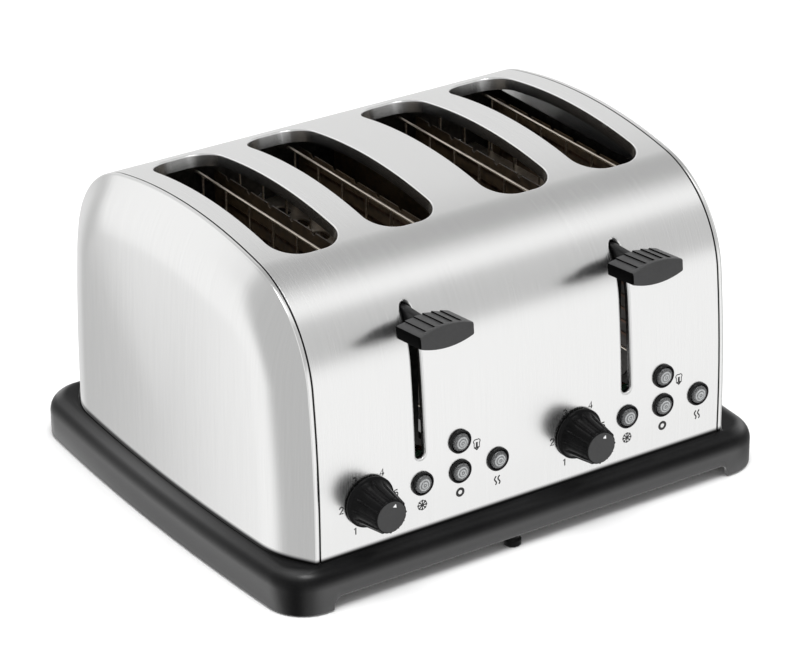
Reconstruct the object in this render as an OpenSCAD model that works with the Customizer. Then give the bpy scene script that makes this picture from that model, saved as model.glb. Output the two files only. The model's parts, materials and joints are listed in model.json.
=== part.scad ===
// Four-slot toaster: a brushed steel wrap between two pillow-shaped end covers, on a black base.
// Each half has a lift carriage with its own lever, a browning knob, four buttons and a crumb tray.
// Millimetres, +Z up. The origin lies on the floor, in the middle of the whole outline.

/* [Body] */
// Height of the crown above the floor
total_h = 200.8; // [196:0.2:215]
// Radius of the crown
crown_r = 381; // [340:1:460]
// Radius of the shoulders
shoulder_r = 69; // [60:1:74]
// Radius of the slow lean of the front and rear walls
wall_r = 788; // [700:1:900]
// Height at which the walls stand upright
wall_z = 43.3; // [36:0.1:50]
// Thickness of the wrap's sheet
sheet_t = 0.9; // [0.6:0.1:1.2]

/* [Bread slots] */
// Width of a slot in the wrap
slot_w = 47.5; // [45:0.5:49]
// Distance of a slot's ends from the front and rear of the wrap's foot
slot_inset = 56.7; // [55:0.1:62]
// Corner radius of a slot
slot_r = 19; // [14:0.5:22]
// Distance of the outer slots from the seams
edge_gap = 13.8; // [12:0.1:16]
// Gap between the inner slots of the two halves
centre_gap = 35.2; // [30:0.2:40]
// Depth of the rolled rim round a slot
rim_depth = 8; // [5:0.5:12]

/* [End covers] */
// Width of the flush lip beside the seam
cover_lip = 2.6; // [1.5:0.1:4]
// Width of the rounded zone inside the outline
cover_round = 30; // [24:1:36]
// How far the rounded zone stands out from the seam
cover_bulge = 17; // [14:0.5:20]
// Extra bow in the middle of the cover
cover_bow = 4; // [2:0.5:5]
// Thickness of a cover
cover_t = 1; // [0.7:0.1:1.3]
// Length of the flange that reaches under the wrap
cover_flange = 5; // [4:0.5:5.5]

/* [Base] */
// Width of the base at its corners
base_w = 347.3; // [345:0.1:360]
// How far the base's sides bow out between the corners
base_bow = 4.4; // [2:0.1:6]
// Depth of the base
base_d = 300; // [280:1:330]
// How far the base reaches beyond the end covers, before its bow
base_side = 7.65; // [5:0.05:12]
// How far the base reaches beyond the wrap at the front and rear
base_reach = 13.1; // [11:0.1:16]
// Height of the base's rim
base_h = 26.6; // [26:0.1:30]
// Corner radius of the base in plan
base_r = 25.8; // [22:0.2:30]
// Radius of the rounded upper edge
base_edge_r = 10.5; // [9:0.5:12]
// Wall of the base moulding
base_wall = 3; // [2.5:0.1:3.4]
// Depth of the recess that the body stands in
recess_depth = 1.2; // [0.8:0.1:1.6]
// Clear height under the front and rear edges
arch_h = 8.6; // [6:0.1:9.5]
// Width of the corner feet beside the arch
corner_foot_w = 30; // [27:0.5:40]
// Radius at the top of the arch's ends
arch_r = 6; // [3:0.5:6]
// Thickness of the steel bottom plate
bottom_t = 1; // [0.8:0.1:1.2]
// Diameter of the rubber pads
pad_d = 18; // [14:0.5:20]
// Diameter of the front centre foot
front_foot_d = 11; // [8:0.5:11]
// Offset of the front centre foot to the left
front_foot_x = 13.6; // [5:0.1:40]

/* [Levers] */
// Depth of the lever arm's middle below the crown, at rest
lever_drop = 40.8; // [39:0.1:44]
// Width of a lever's slot in the wrap
lever_slot_w = 6.5; // [5.5:0.1:8]
// Gap between a lever's slot and the button under it
lever_gap = 8; // [6:0.1:10]
// Width of the lever pad
pad_w = 36.7; // [30:0.1:42]
// Height of the lever pad in its middle
pad_h = 14; // [13:0.5:17]
// Height of the lever pad at its ends
pad_end_h = 7.2; // [5:0.1:9]
// Length of the lever pad from front to back
pad_len = 26; // [22:0.5:30]
// Slope of the lever pad, lower at the back
pad_slope = 6; // [0:0.5:8]

/* [Knobs and buttons] */
// Distance of a knob from its lever
knob_dx = 36.6; // [34:0.1:40]
// Height of the knobs and of the lower button row
row_z = 56.6; // [54:0.1:60]
// Diameter of a knob's skirt
knob_skirt_d = 32; // [28:0.5:34]
// Diameter of a knob's front face
knob_front_d = 21; // [18:0.5:24]
// Length of a knob
knob_len = 23; // [18:0.5:26]
// Number of grip flutes round a knob
flutes = 12; // [8:1:16]
// Distance between neighbouring buttons in the row
button_pitch = 26.75; // [22:0.05:28]
// Distance of the right row's last button from the seam
row_edge = 16.7; // [14:0.1:20]
// Height of the upper button above the row
button_rise = 19.4; // [18:0.1:21]
// Outer diameter of a button's bezel
bezel_d = 15.5; // [14:0.1:17]
// Diameter of a button's cap
button_d = 11.4; // [10:0.1:12]
// Press travel of a button
button_travel = 2; // [1:0.1:2.5]

/* [Inside] */
// Thickness of the chassis plates
plate_t = 1; // [0.8:0.1:1.5]
// Diameter of a carriage's guide rod
rod_d = 5; // [4:0.1:6]
// Distance of a bread guide from its slot's middle
guide_dx = 20; // [18.5:0.1:21]
// Diameter of the guide wires
guide_wire = 1.8; // [1.2:0.1:2]
// Depth of the bread racks below the crown, at rest
rack_drop = 54.8; // [53:0.1:58]
// Width of a bread rack
rack_w = 24; // [18:0.5:28]
// Thickness of the mica heater boards
mica_t = 0.9; // [0.6:0.1:1.2]
// Runs of heater ribbon on a board's face
heater_runs = 13; // [8:1:15]
// Depth of a crumb tray
tray_depth = 9; // [7:0.5:9.5]

/* [Hidden] */
$fn = 48;
// Gaps between pieces: loose, running and seated
clear = 0.3;
running = 0.05;
seat_gap = 0.1;
// Depth of a cut that has to pass one wall
through = 20;

body_w = base_w - 2 * (cover_bulge + cover_bow + base_side);
half_w = body_w / 2;
body_d = base_d - 2 * base_reach;
half_d = body_d / 2;
slot_len = body_d - 2 * slot_inset;
outer_slot_x = half_w - edge_gap - slot_w / 2;
inner_slot_x = (centre_gap + slot_w) / 2;
slot_pitch = outer_slot_x - inner_slot_x;
side_dx = (outer_slot_x + inner_slot_x) / 2;
SIDES = [-side_dx, side_dx];
NAMES = ["left", "right"];
SLOT_X = [for (s = SIDES) for (p = [-1, 1]) s + p * slot_pitch / 2];
CORNERS = [for (x = [-1, 1]) for (y = [-1, 1]) [x, y]];
seat_z = base_h - recess_depth;
deck_low = base_h - base_wall;
skirt_low = 0.6;

// Shell outline in the YZ plane: wall, shoulder and crown arcs that run into each other
crown_c = [0, total_h - crown_r];
wall_c = [half_d - wall_r, wall_z];
arc_a = crown_r - shoulder_r;
arc_b = wall_r - shoulder_r;
arc_gap = norm(wall_c - crown_c);
arc_dir = (wall_c - crown_c) / arc_gap;
arc_foot = (arc_a * arc_a - arc_b * arc_b + arc_gap * arc_gap) / (2 * arc_gap);
arc_rise = sqrt(arc_a * arc_a - arc_foot * arc_foot);
shoulder_c = crown_c + arc_foot * arc_dir + arc_rise * [arc_dir.y, -arc_dir.x];
wall_end = atan2(shoulder_c.y - wall_c.y, shoulder_c.x - wall_c.x);
crown_start = atan2(shoulder_c.y - crown_c.y, shoulder_c.x - crown_c.x);
wall_steps = 4;
shoulder_steps = 14;
crown_steps = 5;
HALF_ANGLES = concat(
  [for (k = [0 : wall_steps - 1]) wall_end * k / wall_steps],
  [for (k = [0 : shoulder_steps - 1]) wall_end + (crown_start - wall_end) * k / shoulder_steps],
  [for (k = [0 : crown_steps - 1]) crown_start + (90 - crown_start) * k / crown_steps]);

function arc_point(a, inset) =
  let (c = a < wall_end ? wall_c : a < crown_start ? shoulder_c : crown_c)
  let (r = a < wall_end ? wall_r : a < crown_start ? shoulder_r : crown_r)
  c + (r - inset) * [cos(a), sin(a)];
function half_outline(inset) = [for (a = HALF_ANGLES) arc_point(a, inset)];
function mirrored(pts) = [for (k = [len(pts) - 1 : -1 : 0]) [-pts[k].x, pts[k].y]];
function outline(inset, low) =
  let (half = concat([[half_d - inset, low]], half_outline(inset)))
  concat(half, [[0, total_h - inset]], mirrored(half));
// Half depth of the wrap's front face at a height in the wall zone
function wall_y(z) = wall_c.x + sqrt(wall_r * wall_r - pow(max(z - wall_z, 0), 2));
// Height of the wrap's outer face at a depth on the shoulder or crown
function shell_z(y) =
  abs(y) < crown_r * cos(crown_start)
    ? crown_c.y + sqrt(crown_r * crown_r - y * y)
    : shoulder_c.y + sqrt(shoulder_r * shoulder_r - pow(abs(y) - shoulder_c.x, 2));
slot_cut_low = shell_z(slot_len / 2) - 2 * rim_depth;
slot_cut_h = total_h - slot_cut_low + 1;

// How far an end cover stands out from the seam at a distance inside the outline
function cover_x(i) =
  i < cover_round
    ? cover_lip + (cover_bulge - cover_lip - round_bend) * i / cover_round
      + round_bend * pow(i / cover_round, 2)
    : cover_bulge + cover_bow * (1 - pow((half_d - i) / (half_d - cover_round), 2));
// Bend of the rounded zone that lets it run smoothly into the middle
round_bend = 2 * cover_bow * cover_round / (half_d - cover_round) - cover_bulge + cover_lip;
// Stations across a cover: distances inside the outline, then shares of the last ring
ROUND_STEPS = [for (q = [0.1, 0.23, 0.4, 0.6, 0.8, 1, 1.5, 2]) q * cover_round];
CORE_SCALES = [0.75, 0.5, 0.25];
ring_last = ROUND_STEPS[len(ROUND_STEPS) - 1];
function core_inset(s) = half_d - s * (half_d - ring_last);
// Bend from the flange into the cover's inside, in thicknesses beyond the seam and below the flange
INNER_BEND = [[-0.6, 1], [-0.3, 1.1], [0.2, 1.2]];
flange_in = sheet_t + clear;
lip_in = 0.1;
// Thickness of a cover along X, greater than the sheet where it slants
cover_skin = 1.3 * cover_t;
OUT_RINGS = concat(
  [[-cover_flange, flange_in], [0, flange_in], [0, 0], [cover_lip, lip_in]],
  [for (i = ROUND_STEPS) [cover_x(i), i]]);
IN_RINGS = concat(
  [[-cover_flange, flange_in + cover_t]],
  [for (b = INNER_BEND) [b.x * cover_t, flange_in + b.y * cover_t]],
  [for (i = ROUND_STEPS) [cover_x(i) - cover_skin, i + 0.6 * cover_t * max(0, 1 - i / cover_round)]]);

// Chassis
plate_gap = 8;
plate_y = slot_len / 2 + plate_gap;
plate_face = plate_y + plate_t;
plate_top = shell_z(plate_face) - 10;
plate_in = cover_flange - 1;
fold_w = 8;
fold_t = 1;
shield_x = half_w - cover_flange - 0.5;

// Carriages and levers
arm_h = 8;
arm_t = 4;
lever_z = total_h - lever_drop;
lever_slot_low = row_z + bezel_d / 2 + lever_gap;
lever_slot_high = lever_z + arm_h / 2 + 2.4;
lift = lever_z - arm_h / 2 - 3.65 - lever_slot_low;
rack_z = total_h - rack_drop;
rod_y = plate_face + 15;
bush_r = rod_d / 2 + 4;
bar_y = plate_face + 4.4;
bar_t = 1.6;
bar_h = 14;
bar_low = rack_z - 9;
tab_t = 1.5;
tab_z = min(plate_top - 6, lever_z + 9);
tongue_w = 4;
tongue_h = 8;
magnet_dx = 22;
armature_w = 14;
pad_nose = 12;
pad_lift = 2.5;
lever_front = half_d + clear + pad_len;
pad_reach = lever_front + pad_h / 2 * sin(pad_slope);
spring_wire = 1.2;
spring_turns = 14;
spring_rings = 10;
spring_sides = 6;

// Controls
shaft_r = 3;
shaft_hole_r = shaft_r + 0.6;
sleeve_t = 0.9;
sleeve_len = 4;
board_t = 1.6;
board_y = half_d - 17.3;
board_face = board_y + board_t;
board_edge = 5;
board_drop = 20;
board_low = row_z - board_drop;
switch_w = 6;
switch_h = 3.5;
switch_face = board_face + switch_h;
pot_d = 17;
pot_len = 8;
first_button_dx = half_w - side_dx - row_edge - 2 * button_pitch;
BUTTONS = [
  ["defrost", first_button_dx, 0],
  ["bagel", first_button_dx + button_pitch, 0],
  ["reheat", first_button_dx + 2 * button_pitch, 0],
  ["cancel", first_button_dx + button_pitch, button_rise]];
// Depth of a bezel's seat on the leaning front wall
function bezel_seat(b) = wall_y(row_z + b[2] - bezel_d / 2) + seat_gap;

// Heaters and bread guides
ribbon_w = 1.6;
ribbon_t = 0.4;
heater_low = 52;
heater_high = plate_top - 5;
guide_low = 58;
guide_high = plate_top - 3;
outer_heater_x = shield_x - 5.5;
inner_heater_x = side_dx - slot_pitch / 2 - guide_dx - 8.3;
HEATERS = [
  ["left_outer_heater_board", -outer_heater_x],
  ["left_middle_heater_board", -side_dx],
  ["left_inner_heater_board", -inner_heater_x],
  ["right_inner_heater_board", inner_heater_x],
  ["right_middle_heater_board", side_dx],
  ["right_outer_heater_board", outer_heater_x]];

// Base, trays and feet
plate_z = arch_h + 2.2;
tray_z = plate_z + bottom_t + clear;
tray_wall = 0.8;
tray_in = 8;
tray_room = 0.6;
tray_out = base_w / 2 - base_r - pad_d / 2 - 4.8;
tray_front = plate_y - 3;
tray_back = base_d / 2 - 5;
foot_x = base_w / 2 - base_r;
foot_y = base_d / 2 - base_r;
// Bowed sides of the base: arcs that run smoothly into the round corners
side_reach = (foot_y * foot_y + base_bow * base_bow) / (2 * base_bow);
side_turn = asin(foot_y / side_reach);
side_c = foot_x + base_bow - side_reach;
side_fn = 256;
side_steps = 8;
corner_steps = 7;
edge_steps = 5;
// Section of the base's wall as inset and height, from its foot over the edge to the deck and back inside
RIM = concat(
  [[0, skirt_low]],
  [for (k = [0 : edge_steps]) let (a = 90 * k / edge_steps)
    [base_edge_r * (1 - cos(a)), base_h + base_edge_r * (sin(a) - 1)]],
  [[base_edge_r + 3, base_h], [base_edge_r + 3, deck_low]],
  [for (k = [edge_steps - 1 : -1 : 0]) let (a = 90 * k / (edge_steps - 1))
    [base_edge_r - (base_edge_r - base_wall) * cos(a), deck_low + (base_edge_r - base_wall) * (sin(a) - 1)]],
  [[base_wall, skirt_low]]);
pad_seat = 3;
boss_r = pad_d / 2 + 2;
post_r = 4.5;
post_x = base_w / 2 - base_wall - 17.6;
post_y = foot_y - 26;
screw_r = 1.5;
screw_len = 8;
gland_z = 50;
gland_bore_r = 4;
gland_neck_r = 6.2;
frame_y = (pad_reach - base_d / 2) / 2;

steel = [0.80, 0.80, 0.79];
dark_steel = [0.45, 0.44, 0.42];
black = [0.10, 0.10, 0.10];
charcoal = [0.22, 0.22, 0.22];

// Moves a piece from the body's middle to the middle of the whole outline
module stand() {
  translate([0, frame_y, 0]) children();
}

// Extrudes a drawing of Y and Z along X, centred
module along_x(w) {
  rotate([90, 0, 90]) linear_extrude(w, center = true) children();
}

// Extrudes a drawing of X and Z along Y, from y0 to y1
module along_y(y0, y1) {
  translate([0, y1, 0]) rotate([90, 0, 0]) linear_extrude(y1 - y0) children();
}

// Round cut through the front or rear wall
module wall_hole(x, y, z, r) {
  translate([x, y, z]) rotate([90, 0, 0]) cylinder(h = through, r = r, center = true);
}

// Rectangle with round corners, centred
module round_rect(w, d, r) {
  square([w - 2 * r, d], center = true);
  square([w, d - 2 * r], center = true);
  for (c = CORNERS) translate([c.x * (w / 2 - r), c.y * (d / 2 - r)]) circle(r);
}

// Slot with round ends along Z, in a drawing of X and Z
module long_hole(w, low, high) {
  translate([-w / 2, low + w / 2]) square([w, high - low - w]);
  translate([0, low + w / 2]) circle(w / 2);
  translate([0, high - w / 2]) circle(w / 2);
}

// Bar between two corners
module bar(a, b) {
  translate(a) cube(b - a);
}

// One bent sheet over front, top and rear, with its slots and holes
module wrap_shell() {
  color(steel) {
    difference() {
      along_x(body_w - 2 * clear) difference() {
        polygon(outline(0, seat_z));
        polygon(outline(sheet_t, seat_z - 1));
      }
      for (x = SLOT_X) translate([x, 0, slot_cut_low])
        linear_extrude(slot_cut_h) round_rect(slot_w, slot_len, slot_r);
      for (s = SIDES) {
        translate([s, 0, 0]) along_y(-half_d - 1, -rod_y)
          long_hole(lever_slot_w, lever_slot_low, lever_slot_high);
        wall_hole(s - knob_dx, -half_d, row_z, shaft_hole_r);
        for (b = BUTTONS)
          wall_hole(s + b[1], -half_d, row_z + b[2], button_d / 2 + clear + sleeve_t + seat_gap);
      }
      wall_hole(0, half_d, gland_z, gland_neck_r + clear);
    }
    for (x = SLOT_X) slot_rim(x);
  }
}

// Rim that turns down round a bread slot, as deep below the curved top everywhere
module slot_rim(x) {
  intersection() {
    translate([x, 0, slot_cut_low]) linear_extrude(slot_cut_h) difference() {
      round_rect(slot_w, slot_len, slot_r);
      round_rect(slot_w - 2 * sheet_t, slot_len - 2 * sheet_t, slot_r - sheet_t);
    }
    along_x(body_w - 2 * clear) difference() {
      polygon(outline(0, seat_z));
      translate([0, -rim_depth]) polygon(outline(0, seat_z));
    }
  }
}

function ring(st) = [for (p = outline(st[1], seat_z)) [half_w + st[0], p.x, p.y]];
function core_ring(s, drop) =
  let (x = half_w + cover_x(core_inset(s)) - drop)
  [for (p = outline(ring_last, seat_z)) [x, s * p.x, seat_z + s * (p.y - seat_z)]];

// Pressed end cover: a thin loft whose rings shrink from the seam towards the middle of the side
module end_cover(side) {
  outer = concat([for (r = OUT_RINGS) ring(r)], [for (s = CORE_SCALES) core_ring(s, 0)]);
  inner = concat([for (r = IN_RINGS) ring(r)], [for (s = CORE_SCALES) core_ring(s, cover_skin)]);
  rings = len(outer);
  n = len(outer[0]);
  out_id = function (r, k) r * n + k;
  in_id = function (r, k) (rings + r) * n + k;
  skins = [for (r = [0 : rings - 2]) for (k = [0 : n - 2]) each [
    [out_id(r, k), out_id(r, k + 1), out_id(r + 1, k + 1)],
    [out_id(r, k), out_id(r + 1, k + 1), out_id(r + 1, k)],
    [in_id(r, k), in_id(r + 1, k + 1), in_id(r, k + 1)],
    [in_id(r, k), in_id(r + 1, k), in_id(r + 1, k + 1)]]];
  tips = [for (k = [0 : n - 2]) each [
    [out_id(0, k), in_id(0, k), in_id(0, k + 1)],
    [out_id(0, k), in_id(0, k + 1), out_id(0, k + 1)]]];
  feet = [for (r = [0 : rings - 2]) each [
    [out_id(r, 0), out_id(r + 1, 0), in_id(r + 1, 0), in_id(r, 0)],
    [in_id(r, n - 1), in_id(r + 1, n - 1), out_id(r + 1, n - 1), out_id(r, n - 1)]]];
  last = rings - 1;
  middle = [
    [for (k = [0 : n - 1]) out_id(last, k)],
    [for (k = [n - 1 : -1 : 0]) in_id(last, k)],
    [out_id(last, 0), out_id(last, n - 1), in_id(last, n - 1), in_id(last, 0)]];
  color(steel) mirror([side < 0 ? 1 : 0, 0, 0])
    polyhedron(concat([for (r = outer) each r], [for (r = inner) each r]),
               concat(skins, tips, feet, middle), convexity = 6);
}

// Points round the base's plan, inside it by an inset: round corners, bowed sides, straight front and rear
function base_plan(inset) =
  let (corner = [for (k = [0 : corner_steps])
    let (a = 90 - (90 - side_turn) * k / corner_steps)
    [foot_x, foot_y] + (base_r - inset) * [cos(a), sin(a)]])
  let (bow = [for (k = [1 : side_steps - 1])
    let (a = side_turn * (1 - 2 * k / side_steps))
    [side_c, 0] + (side_reach + base_r - inset) * [cos(a), sin(a)]])
  let (front = [for (k = [len(corner) - 1 : -1 : 0]) [corner[k].x, -corner[k].y]])
  let (right = concat(corner, bow, front))
  concat(right, mirrored(right));

// Wall of the base with its rounded upper edge: a loft of its section round the plan
module base_rim() {
  rings = [for (s = RIM) [for (p = base_plan(s.x)) [p.x, p.y, s.y]]];
  m = len(rings);
  n = len(rings[0]);
  id = function (r, k) (r % m) * n + k % n;
  faces = [for (r = [0 : m - 1]) for (k = [0 : n - 1]) each [
    [id(r, k), id(r, k + 1), id(r + 1, k + 1)],
    [id(r, k), id(r + 1, k + 1), id(r + 1, k)]]];
  polyhedron([for (r = rings) each r], faces, convexity = 6);
}

// Moulding that carries everything: skirt, deck with the body's recess, pad bosses and screw posts
module base_tray() {
  deck_in = 3;
  post_low = plate_z + bottom_t;
  sink = 0.1;
  color(black) difference() {
    union() {
      base_rim();
      translate([0, 0, deck_low]) linear_extrude(base_wall) polygon(base_plan(base_edge_r + 1));
      for (c = CORNERS) {
        translate([c.x * foot_x, c.y * foot_y, pad_seat])
          cylinder(h = deck_low - pad_seat + sink, r = boss_r);
        translate([c.x * post_x, c.y * post_y, post_low])
          cylinder(h = deck_low - post_low + sink, r = post_r);
      }
    }
    translate([0, 0, seat_z]) linear_extrude(base_h) body_plan(tray_room);
    bar([-tray_out - deck_in, -tray_front, 0], [tray_out + deck_in, tray_front, base_h + 1]);
    arch_cut();
    for (c = CORNERS) translate([c.x * post_x, c.y * post_y, plate_z])
      cylinder(h = screw_len + 1, r = screw_r + running);
    for (s = [0, 1]) mirror([s, 0, 0])
      bar([tray_in - tray_room, tray_front, tray_z - clear],
          [tray_out + tray_room, base_d / 2 + 1, tray_z + tray_depth + tray_room]);
  }
}

// Opening under the front and rear edges, with rounded upper ends
module arch_cut() {
  half = base_w / 2 - corner_foot_w;
  for (y = [0, 1]) mirror([0, y, 0]) along_y(base_d / 2 - base_wall - 1, base_d) {
    translate([-half, -1]) square([2 * half, arch_h - arch_r + 1]);
    translate([-half + arch_r, -1]) square([2 * half - 2 * arch_r, arch_h + 1]);
    for (x = [-1, 1]) translate([x * (half - arch_r), arch_h - arch_r]) circle(arch_r);
  }
}

// Plan of the body at its foot, with its bowed sides
module body_plan(grow) {
  insets = concat([0], ROUND_STEPS, [for (s = CORE_SCALES) core_inset(s)], [half_d]);
  quarter = [for (i = insets) [half_w + cover_x(i) + grow, half_d - i + (i < half_d ? grow : 0)]];
  back = [for (k = [len(quarter) - 2 : -1 : 0]) [quarter[k].x, -quarter[k].y]];
  right = concat(quarter, back);
  left = [for (k = [len(right) - 1 : -1 : 0]) [-right[k].x, right[k].y]];
  polygon(concat(right, left));
}

// Steel plate that closes the base, with vents under each half
module bottom_plate() {
  inside = base_wall + clear;
  vent = [5, 46];
  vent_pitch = [14, 68];
  color(dark_steel) translate([0, 0, plate_z]) linear_extrude(bottom_t) difference() {
    union() {
      intersection() {
        square([base_w + 2 * base_bow, 2 * foot_y], center = true);
        intersection_for (s = [-1, 1]) translate([s * side_c, 0])
          circle(side_reach + base_r - inside, $fn = side_fn);
      }
      square([2 * foot_x, base_d - 2 * inside], center = true);
    }
    for (c = CORNERS) {
      translate([c.x * foot_x, c.y * foot_y]) circle(boss_r + clear);
      translate([c.x * post_x, c.y * post_y]) circle(screw_r + 0.2);
    }
    for (s = SIDES) for (x = [-2 : 2]) for (y = [-0.5, 0.5])
      translate([s + x * vent_pitch.x, y * vent_pitch.y]) round_rect(vent.x, vent.y, vent.x / 2 - seat_gap);
  }
}

// Rubber pads with a chamfered edge
module foot_pads() {
  r = pad_d / 2;
  edge = 1;
  color(charcoal) for (c = CORNERS) translate([c.x * foot_x, c.y * foot_y, 0])
    rotate_extrude() polygon([[0, 0], [r - edge, 0], [r, edge], [r, pad_seat], [0, pad_seat]]);
}

// Foot that hangs from the bottom plate behind the front edge
module front_foot() {
  r = front_foot_d / 2;
  edge = 0.8;
  pad_top = 4;
  neck_z = 5;
  neck_r = r - 1.7;
  color(black) translate([-front_foot_x, -base_d / 2 + base_wall + clear + pad_top, 0])
    rotate_extrude() polygon([[0, 0], [r - edge, 0], [r, edge], [r, pad_top],
                              [neck_r, neck_z], [neck_r, plate_z], [0, plate_z]]);
}

// Places children on the front wall at a button, with the seat of its bezel at y = 0
module at_button(s, b) {
  translate([s + b[1], -bezel_seat(b), row_z + b[2]]) rotate([90, 0, 0]) children();
}

// Collars with a sleeve through the wrap
module button_bezels(s) {
  r = bezel_d / 2;
  bore = button_d / 2 + clear;
  rim = 1.7;
  edge = 0.7;
  color(black) for (b = BUTTONS) at_button(s, b)
    rotate_extrude() polygon([[bore, -sleeve_len], [bore + sleeve_t, -sleeve_len], [bore + sleeve_t, 0],
                              [r, 0], [r, rim - edge], [r - edge, rim],
                              [bore + edge, rim], [bore, rim - edge]]);
}

// Cap with rings round a raised middle, and its stem to the switch
module push_button(s, b) {
  r = button_d / 2;
  stem_r = 2;
  stem = bezel_seat(b) - switch_face - button_travel - clear;
  cap = 5;
  front = 2.6;
  groove = 0.5;
  dome = 3.4;
  color([0.75, 0.77, 0.78, 0.9]) at_button(s, b) rotate_extrude()
    polygon([[0, -stem], [stem_r, -stem], [stem_r, -cap], [r, -cap], [r, front - 0.9], [r - 0.8, front],
             [r - 1.6, front], [r - 1.9, front - groove], [r - 2.5, front - groove], [r - 2.8, dome - 0.4],
             [1.5, dome], [1.2, dome - groove], [0.7, dome - groove], [0.5, dome], [0, dome]]);
}

// Steel plate across the body with slots for the rack tongues
module chassis_sheet(dir) {
  low = rack_z - tongue_h - lift - 3;
  high = rack_z + 4;
  y0 = dir > 0 ? plate_y : -plate_face;
  along_y(y0, y0 + plate_t) difference() {
    translate([-half_w + plate_in, seat_z]) square([body_w - 2 * plate_in, plate_top - seat_z]);
    for (x = SLOT_X) translate([x, 0]) long_hole(tongue_w + 2, low, high);
  }
}

// Front plate with a folded foot and a tab that holds each guide rod
module front_chassis_plate() {
  fold_x = half_w - fold_w;
  tab_w = 16;
  tab_end = rod_y + 6;
  color(steel) {
    chassis_sheet(-1);
    bar([-fold_x, -plate_y - fold_w, seat_z], [fold_x, -plate_face, seat_z + fold_t]);
    for (s = SIDES) difference() {
      bar([s - tab_w / 2, -tab_end, tab_z], [s + tab_w / 2, -plate_face, tab_z + tab_t]);
      translate([s, -rod_y, tab_z - 1]) cylinder(h = tab_t + 2, r = rod_d / 2 + running);
    }
  }
}

// Rear plate with a folded foot
module rear_chassis_plate() {
  fold_x = half_w - fold_w;
  color(steel) {
    chassis_sheet(1);
    bar([-fold_x, plate_face, seat_z], [fold_x, plate_face + fold_w, seat_z + fold_t]);
  }
}

// Sheet between the outer heater and the end cover, vented along its foot
module heat_shield(side) {
  x = side < 0 ? -shield_x : shield_x - plate_t;
  vent = [8, 3];
  vent_z = seat_z + 8;
  pitch = (plate_y - 22) / 3;
  color(steel) difference() {
    bar([x, -plate_y, seat_z], [x + plate_t, plate_y, plate_top - 2]);
    for (k = [-3 : 3]) translate([x - 1, k * pitch - vent.x / 2, vent_z]) cube([plate_t + 2, vent.x, vent.y]);
  }
}

// Mica board with notches along its upper and lower edges
module heater_board(x) {
  notch_r = 2.2;
  pitch = (plate_y - 16) / 3;
  color([0.62, 0.52, 0.38]) difference() {
    bar([x - mica_t / 2, -plate_y, heater_low], [x + mica_t / 2, plate_y, heater_high]);
    for (k = [-3 : 3]) for (z = [heater_low, heater_high])
      translate([x, k * pitch, z]) rotate([0, 90, 0]) cylinder(h = 4 * mica_t, r = notch_r, center = true);
  }
}

// Ribbon that runs to and fro along one face of a heater board
module heater_ribbon(x) {
  edge = 10;
  pitch = (heater_high - heater_low - 2 * edge) / (heater_runs - 1);
  reach = plate_y - 9;
  place = [x, 0, heater_low + edge];
  color([0.55, 0.30, 0.20]) translate(place) rotate([90, 0, 90]) linear_extrude(ribbon_t) {
    for (k = [0 : heater_runs - 1]) translate([-reach, k * pitch]) square([2 * reach, ribbon_w]);
    for (k = [0 : heater_runs - 2])
      translate([k % 2 == 0 ? reach - ribbon_w : -reach, k * pitch]) square([ribbon_w, pitch + ribbon_w]);
  }
}

// Ribbons on every board face that looks at bread
module heater_ribbons(side) {
  outer = side * outer_heater_x;
  middle = side * side_dx;
  inner = side * inner_heater_x;
  face = mica_t / 2;
  heater_ribbon(side < 0 ? outer + face : outer - face - ribbon_t);
  heater_ribbon(middle - face - ribbon_t);
  heater_ribbon(middle + face);
  heater_ribbon(side < 0 ? inner - face - ribbon_t : inner + face);
}

// Two grids of wires that keep the bread off the heaters
module bread_guides(x) {
  r = guide_wire / 2;
  cross_r = 0.8 * r;
  pitch = (plate_y - 8) / 3;
  color(dark_steel) for (d = [-1, 1]) translate([x + d * guide_dx, 0, 0]) {
    for (z = [guide_low, guide_high]) translate([0, -plate_y, z]) rotate([-90, 0, 0])
      cylinder(h = 2 * plate_y, r = r, $fn = 24);
    for (k = [-3 : 3]) translate([0, k * pitch, guide_low])
      cylinder(h = guide_high - guide_low, r = cross_r, $fn = 24);
  }
}

// Rod from the base to just above its tab
module guide_rod(s) {
  over = 2.5;
  color(steel) translate([s, -rod_y, seat_z]) cylinder(h = tab_z + tab_t + over - seat_z, r = rod_d / 2);
}

// Circuit board with its switches and the posts that hold it to the chassis
module control_board(s) {
  left = -knob_dx - pot_d / 2 - board_edge;
  right = BUTTONS[2][1] + bezel_d / 2 + board_edge;
  step_x = BUTTONS[3][1] - bezel_d / 2 - board_edge;
  low_top = row_z + 11.5;
  top = row_z + button_rise + 10;
  stud_r = 2.5;
  color([0.16, 0.38, 0.24]) difference() {
    translate([s, 0, 0]) along_y(-board_face, -board_y)
      polygon([[left, board_low], [right, board_low], [right, top], [step_x, top],
               [step_x, low_top], [left, low_top]]);
    wall_hole(s - knob_dx, -board_y, row_z, shaft_hole_r);
  }
  color(black) for (b = BUTTONS)
    translate([s + b[1] - switch_w / 2, -switch_face, row_z + b[2] - switch_w / 2])
      cube([switch_w, switch_h, switch_w]);
  color(steel) for (x = [left + board_edge, right - board_edge]) for (z = [board_low + 6, row_z + 5])
    translate([s + x, -plate_face, z]) rotate([90, 0, 0]) cylinder(h = board_y - plate_face, r = stud_r);
}

// Potentiometer on the board, with the bush that the knob's shaft turns in
module browning_pot(s) {
  bush = 3;
  color(dark_steel) translate([s - knob_dx, -board_face, row_z]) rotate([90, 0, 0]) difference() {
    union() {
      cylinder(h = pot_len, r = pot_d / 2);
      cylinder(h = pot_len + bush, r = shaft_r + 2);
    }
    translate([0, 0, -1]) cylinder(h = pot_len + bush + 2, r = shaft_r + running);
  }
}

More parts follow.
